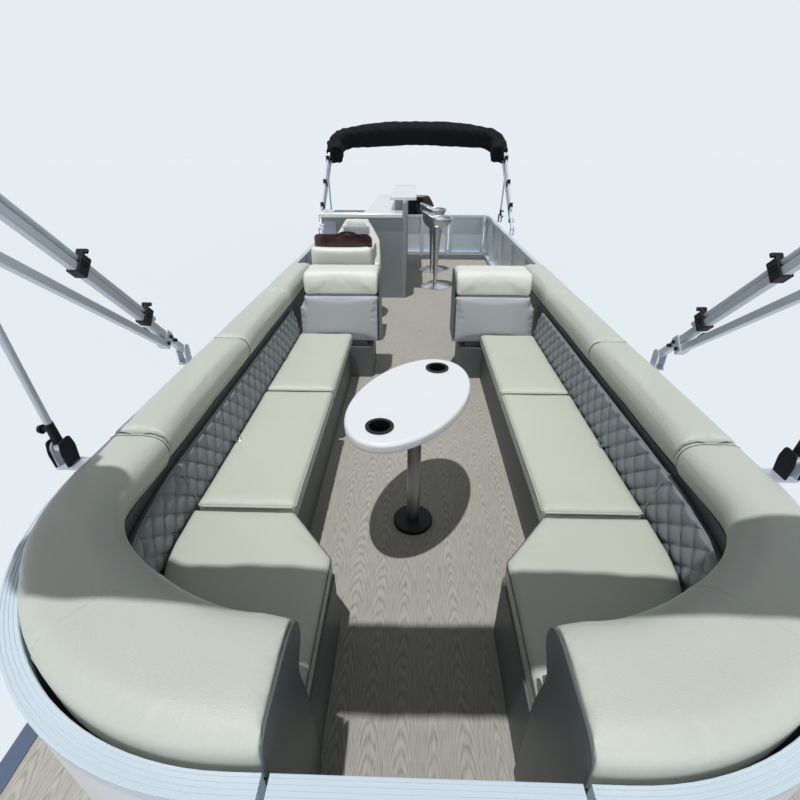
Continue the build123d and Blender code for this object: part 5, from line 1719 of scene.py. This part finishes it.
@dataclass
class Helm:
    """Dash, screen and brow pad, and the captain's chair."""

    upholstery: Upholstery
    fill: float = 0.8
    brow_foot: float = 1.240
    brow_rounding: float = 0.043
    shoulder_start: float = 0.76
    shoulder_fall: float = 0.065
    chair_x: float = -0.630
    chair_y: float = 0.590
    liner_fill: float = 0.7
    liner_inner: float = 0.149
    liner_outer: float = 0.161
    liner_low: float = DECK + 0.548
    liner_high: float = DECK + 0.935
    liner_turn: float = 124.0
    rib_depth: float = 0.007
    dials: tuple[tuple[float, float], ...] = ((-0.80, 0.036), (-0.70, 0.05), (-0.58, 0.05), (-0.48, 0.036))
    dial_z: float = DECK + 0.806

    def build(self) -> None:
        """Make the chair's padding and the dash."""
        self.chair()
        self.brow()
        self.screen()
        self.gauges()
        self.throttle()

    def brow(self) -> None:
        """Padded brow across the front of the pod."""
        low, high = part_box("console")
        foot = (low.x - 0.004, low.y - 0.028, self.brow_foot)
        top = (high.x + 0.004, low.y + 0.060, high.z + 0.032)
        mesh = block(foot, top, self.brow_rounding, 5)
        pad = self.upholstery.stuff("brow_pad", mesh, Surface.PILLOW_VINYL, "console", self.fill, soften=26)
        seam = piping(pad, [((0, low.y + 0.045, 0), (0, 1, 0))], 0.0025)
        add_piece("brow_piping", seam, Surface.EDGE_PIPING, "console")

    def screen(self) -> None:
        """Tinted screen whose shoulders fall away at its ends."""
        low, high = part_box("windscreen")
        mesh = islands("windscreen")[0]
        for cut_x in evenly(low.x, high.x, 24)[1:-1]:
            cut_through(mesh, (cut_x, 0, 0), (1, 0, 0))
        centre_x = (low.x + high.x) / 2
        half = (high.x - low.x) / 2
        for vertex in mesh.verts:
            out = abs(vertex.co.x - centre_x) / half
            reach = clamped((out - self.shoulder_start) / (1 - self.shoulder_start))
            fall = self.shoulder_fall * (1 - math.sqrt(1 - reach**2))
            vertex.co.z -= fall * (vertex.co.z - low.z) / (high.z - low.z)
        screen = add_piece("screen", mesh, Surface.SCREEN, "windscreen", smooth=False)
        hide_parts("windscreen")

    def chair(self) -> None:
        """Horseshoe back in cream with a grey ribbed liner, and the grey seat pad."""
        for node, surface in (("chair_back", Surface.PILLOW_VINYL), ("chair_seat", Surface.GREY_VINYL)):
            solid = islands(node)[0]
            piece = self.upholstery.stuff(f"{node}_padded", solid, surface, node, self.fill, soften=5)
            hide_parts(node)
        centre = Vector((self.chair_x, self.chair_y, 0))
        start = math.radians(-self.liner_turn / 2)
        section = [(self.liner_inner, height) for height in evenly(self.liner_low, self.liner_high, 24)]
        section += [(self.liner_outer, self.liner_high), (self.liner_outer, self.liner_low)]
        outline = []
        for out, height in section:
            outline.append(centre + Vector((out * math.sin(start), out * math.cos(start), height)))
        mesh = Sweep(outline).turn(centre, -math.radians(self.liner_turn), 88).finish()
        for vertex in mesh.verts:
            self.rib(vertex, centre)
        liner = add_piece("chair_liner", mesh, Surface.GREY_VINYL, "chair_back")

    def rib(self, vertex: bmesh.types.BMVert, centre: Vector) -> None:
        """Push one point of the liner's inner face out between its sewn channels.

        Args:
            vertex: the point.
            centre: middle of the chair.
        """
        offset = Vector((vertex.co.x - centre.x, vertex.co.y - centre.y, 0))
        if offset.length > (self.liner_inner + self.liner_outer) / 2:
            return
        puff = abs(math.cos(math.atan2(offset.x, offset.y) * 9)) ** 0.5
        top = clamped((self.liner_high - vertex.co.z) / 0.03)
        vertex.co -= offset.normalized() * self.rib_depth * puff * top

    def gauges(self) -> None:
        """Gauges on the pod, with their bezels."""
        face_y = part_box("console")[1].y + 0.008
        faces = []
        bezels = []
        for x, radius in self.dials:
            centre = Vector((x, face_y, self.dial_z))
            faces.append(rod(centre - Vector((0, 0.012, 0)), centre, radius, sides=32))
            circle = [centre + Vector((out, 0, rise)) for out, rise in ring(radius, 32)]
            bezels.append(tube_along(circle, 0.0035, True))
        add_piece("gauges", joined(faces), Surface.BLACK, "console", smooth=False)
        add_piece("gauge_bezels", joined(bezels), Surface.CHROME, "console")

    def throttle(self) -> None:
        """Throttle box and its lever on the pod."""
        low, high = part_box("console")
        foot = (low.x + 0.045, high.y - 0.17, high.z - 0.001)
        body = block(foot, (low.x + 0.105, high.y - 0.05, high.z + 0.045), 0.012)
        add_piece("throttle_box", body, Surface.BLACK, "console", smooth=False)
        start = Vector((low.x + 0.075, high.y - 0.11, high.z + 0.03))
        end = start + Vector((0, -0.05, 0.13))
        half_grip = Vector((0.02, 0, 0))
        lever = joined([rod(start, end, 0.007, 0.006), rod(end - half_grip, end + half_grip, 0.013)])
        add_piece("throttle_lever", lever, Surface.CHROME, "console")


@dataclass
class Stools:
    """Rolled lips round the bucket seats."""

    lip_radius: float = 0.0065
    sharp: float = 0.9
    floor: float = 0.03
    shortest: int = 9

    def build(self) -> None:
        """Fit a lip to both seats."""
        for place in ("forward", "aft"):
            node = f"stool_seat_{place}"
            add_piece(f"stool_lip_{place}", joined(self.rims(node)), Surface.POLISHED, node)

    def rims(self, node: str) -> list[Mesh]:
        """Tubes along the sharp edges of a seat, but for those under it.

        Args:
            node: the seat's node.

        Returns:
            The tubes.
        """
        seat = islands(node)[0]
        floor = span(seat, 2)[0] + self.floor
        sharp = []
        for edge in seat.edges:
            high = min(vertex.co.z for vertex in edge.verts) > floor
            if high and len(edge.link_faces) == 2 and edge.calc_face_angle() > self.sharp:
                sharp.append(edge)
        tubes = []
        for line in linked_lines(sharp):
            if len(line) >= self.shortest:
                closed = line[-1] == line[0]
                points = [vertex.co.copy() for vertex in (line[:-1] if closed else line)]
                tubes.append(tube_along(points, self.lip_radius, closed))
        seat.free()
        return tubes


@dataclass
class Bar:
    """Doors, a front panel and the well's lip, with the well's floor painted black as shade."""

    door_x: float = -0.564
    door_start: float = 1.64
    door_count: int = 4
    door_gap: float = 0.012
    well_low: tuple[float, float] = (-0.985, 1.335)
    well_high: tuple[float, float] = (-0.615, 1.560)
    well_depth: float = 0.129

    def build(self) -> None:
        """Fit the bar's fronts and its well."""
        self.doors()
        self.well()

    def doors(self) -> None:
        """Doors with upright handles along the side, and one panel in front."""
        low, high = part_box("bar_cabinet")
        fronts = []
        handles = []
        face = self.door_x
        rail_x = face - 0.036
        edges = evenly(self.door_start, high.y, self.door_count)
        for index, (left, right) in enumerate(zip(edges, edges[1:])):
            start = left + self.door_gap / 2
            end = right - self.door_gap / 2
            low_corner = (face - 0.016, start, DECK + 0.075)
            fronts.append(block(low_corner, (face - 0.0005, end, DECK + 0.930), 0.003))
            y = start + 0.03 if index % 2 else end - 0.03
            handles.append(rod((rail_x, y, DECK + 0.60), (rail_x, y, DECK + 0.74), 0.005))
            for z in (DECK + 0.61, DECK + 0.73):
                handles.append(rod((rail_x, y, z), (face - 0.014, y, z), 0.004))
        add_piece("bar_doors", joined(fronts), Surface.BAR_DOOR, "bar_cabinet", smooth=False)
        add_piece("bar_handles", joined(handles), Surface.CHROME, "bar_cabinet")
        low_corner = (low.x + 0.008, low.y - 0.006, DECK + 0.02)
        front = block(low_corner, (low.x + 0.17, low.y - 0.0005, DECK + 0.90), 0.002)
        add_piece("bar_front_panel", front, Surface.BAR_DOOR, "bar_cabinet", smooth=False)

    def well(self) -> None:
        """Lip round the counter's well, and a black floor that paints shade into the well."""
        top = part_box("bar_counter")[1].z
        (left, near), (right, far) = self.well_low, self.well_high
        corners = rounded([(left, near), (right, near), (right, far), (left, far)], [0.012] * 4)
        lip = tube_along([Vector((x, y, top + 0.001)) for x, y in corners], 0.006, True)
        add_piece("well_lip", lip, Surface.COUNTER, "bar_counter")
        floor = top - self.well_depth
        high_corner = (right - 0.002, far - 0.002, floor + 0.003)
        # Painted shade: a black sheet on the floor of the deep well, where it is in shade.
        liner = block((left + 0.002, near + 0.002, floor), high_corner, 0.001)
        add_piece("well_floor", liner, Surface.BLACK, "bar_counter", smooth=False)


@dataclass
class Studio:
    """Camera, lamps, world and floor."""

    location: tuple[float, float, float] = (-0.036, -4.225, 2.194)
    tilt: float = 60.16
    pan: float = 1.59
    lens: float = 19.93
    sensor: float = 36.0
    sun_strength: float = 2.35
    sun_softness: float = 0.9
    sun_slope: tuple[float, float] = (0.097, 0.155)
    fill_strength: float = 1.15
    fill_softness: float = 60.0
    fill_way: tuple[float, float, float] = (-0.20, 1.0, -0.16)
    world_strength: float = 0.20
    shown_strength: float = 0.95
    floor_size: float = 90.0
    view_depth: float = 500.0

    def build(self) -> None:
        """Set the stage."""
        scene = bpy.context.scene
        camera = bpy.data.cameras.new("camera")
        camera.lens = self.lens
        camera.sensor_width = self.sensor
        camera.clip_end = self.view_depth
        holder = bpy.data.objects.new("camera", camera)
        holder.location = self.location
        holder.rotation_euler = (math.radians(self.tilt), 0, math.radians(self.pan))
        scene.collection.objects.link(holder)
        scene.camera = holder
        scene.view_settings.view_transform = "Standard"
        self.lamps()
        self.world()
        self.floor()

    def lamps(self) -> None:
        """High sun from ahead of the bow, and a weak fill from astern."""
        way = Vector((self.sun_slope[0], self.sun_slope[1], -1))
        for name, strength, angle, direction in (
            ("sun", self.sun_strength, self.sun_softness, way),
            ("fill", self.fill_strength, self.fill_softness, Vector(self.fill_way)),
        ):
            lamp = bpy.data.lights.new(name, "SUN")
            lamp.energy = strength
            lamp.angle = math.radians(angle)
            holder = bpy.data.objects.new(name, lamp)
            holder.rotation_euler = direction.to_track_quat("-Z", "Y").to_euler()
            bpy.context.scene.collection.objects.link(holder)

    def world(self) -> None:
        """Pale world that shows near white and lights the boat plainly."""
        world = bpy.data.worlds.new("studio")
        bpy.context.scene.world = world
        world.use_nodes = True
        graph = Graph(world.node_tree)
        back = graph.tree.nodes["Background"]
        back.inputs["Color"].default_value = display(236, 242, 248)
        path = graph.add("ShaderNodeLightPath")
        seen = graph.math("MAXIMUM", path.outputs["Is Camera Ray"], path.outputs["Is Glossy Ray"])
        seen = graph.math("MAXIMUM", seen, path.outputs["Is Transmission Ray"])
        extra = graph.times(seen, self.shown_strength - self.world_strength)
        graph.link(graph.plus(extra, self.world_strength), back.inputs["Strength"])

    def floor(self) -> None:
        """Plain pale floor at the waterline."""
        mesh = bmesh.new()
        bmesh.ops.create_grid(mesh, x_segments=1, y_segments=1, size=self.floor_size)
        data = bpy.data.meshes.new("floor")
        mesh.to_mesh(data)
        mesh.free()
        floor = bpy.data.objects.new("floor", data)
        bpy.context.scene.collection.objects.link(floor)
        material = bpy.data.materials.new("floor")
        material.use_nodes = True
        surface = material.node_tree.nodes["Principled BSDF"]
        surface.inputs["Base Color"].default_value = display(229, 235, 240)
        surface.inputs["Roughness"].default_value = 0.9
        data.materials.append(material)


def main() -> None:
    """Build the scene."""
    logging.basicConfig(level=logging.INFO)
    Studio().build()
    dress_nodes()
    line = FenceLine()
    upholstery = Upholstery()
    Lounge(line, upholstery).build()
    Rails(line).build()
    for legs in FOLDED_TOPS:
        Boot(legs).build()
        Hardware(legs).build()
    Helm(upholstery).build()
    Stools().build()
    Bar().build()
    log.info("pieces are in place")


if __name__ == "__main__":
    main()
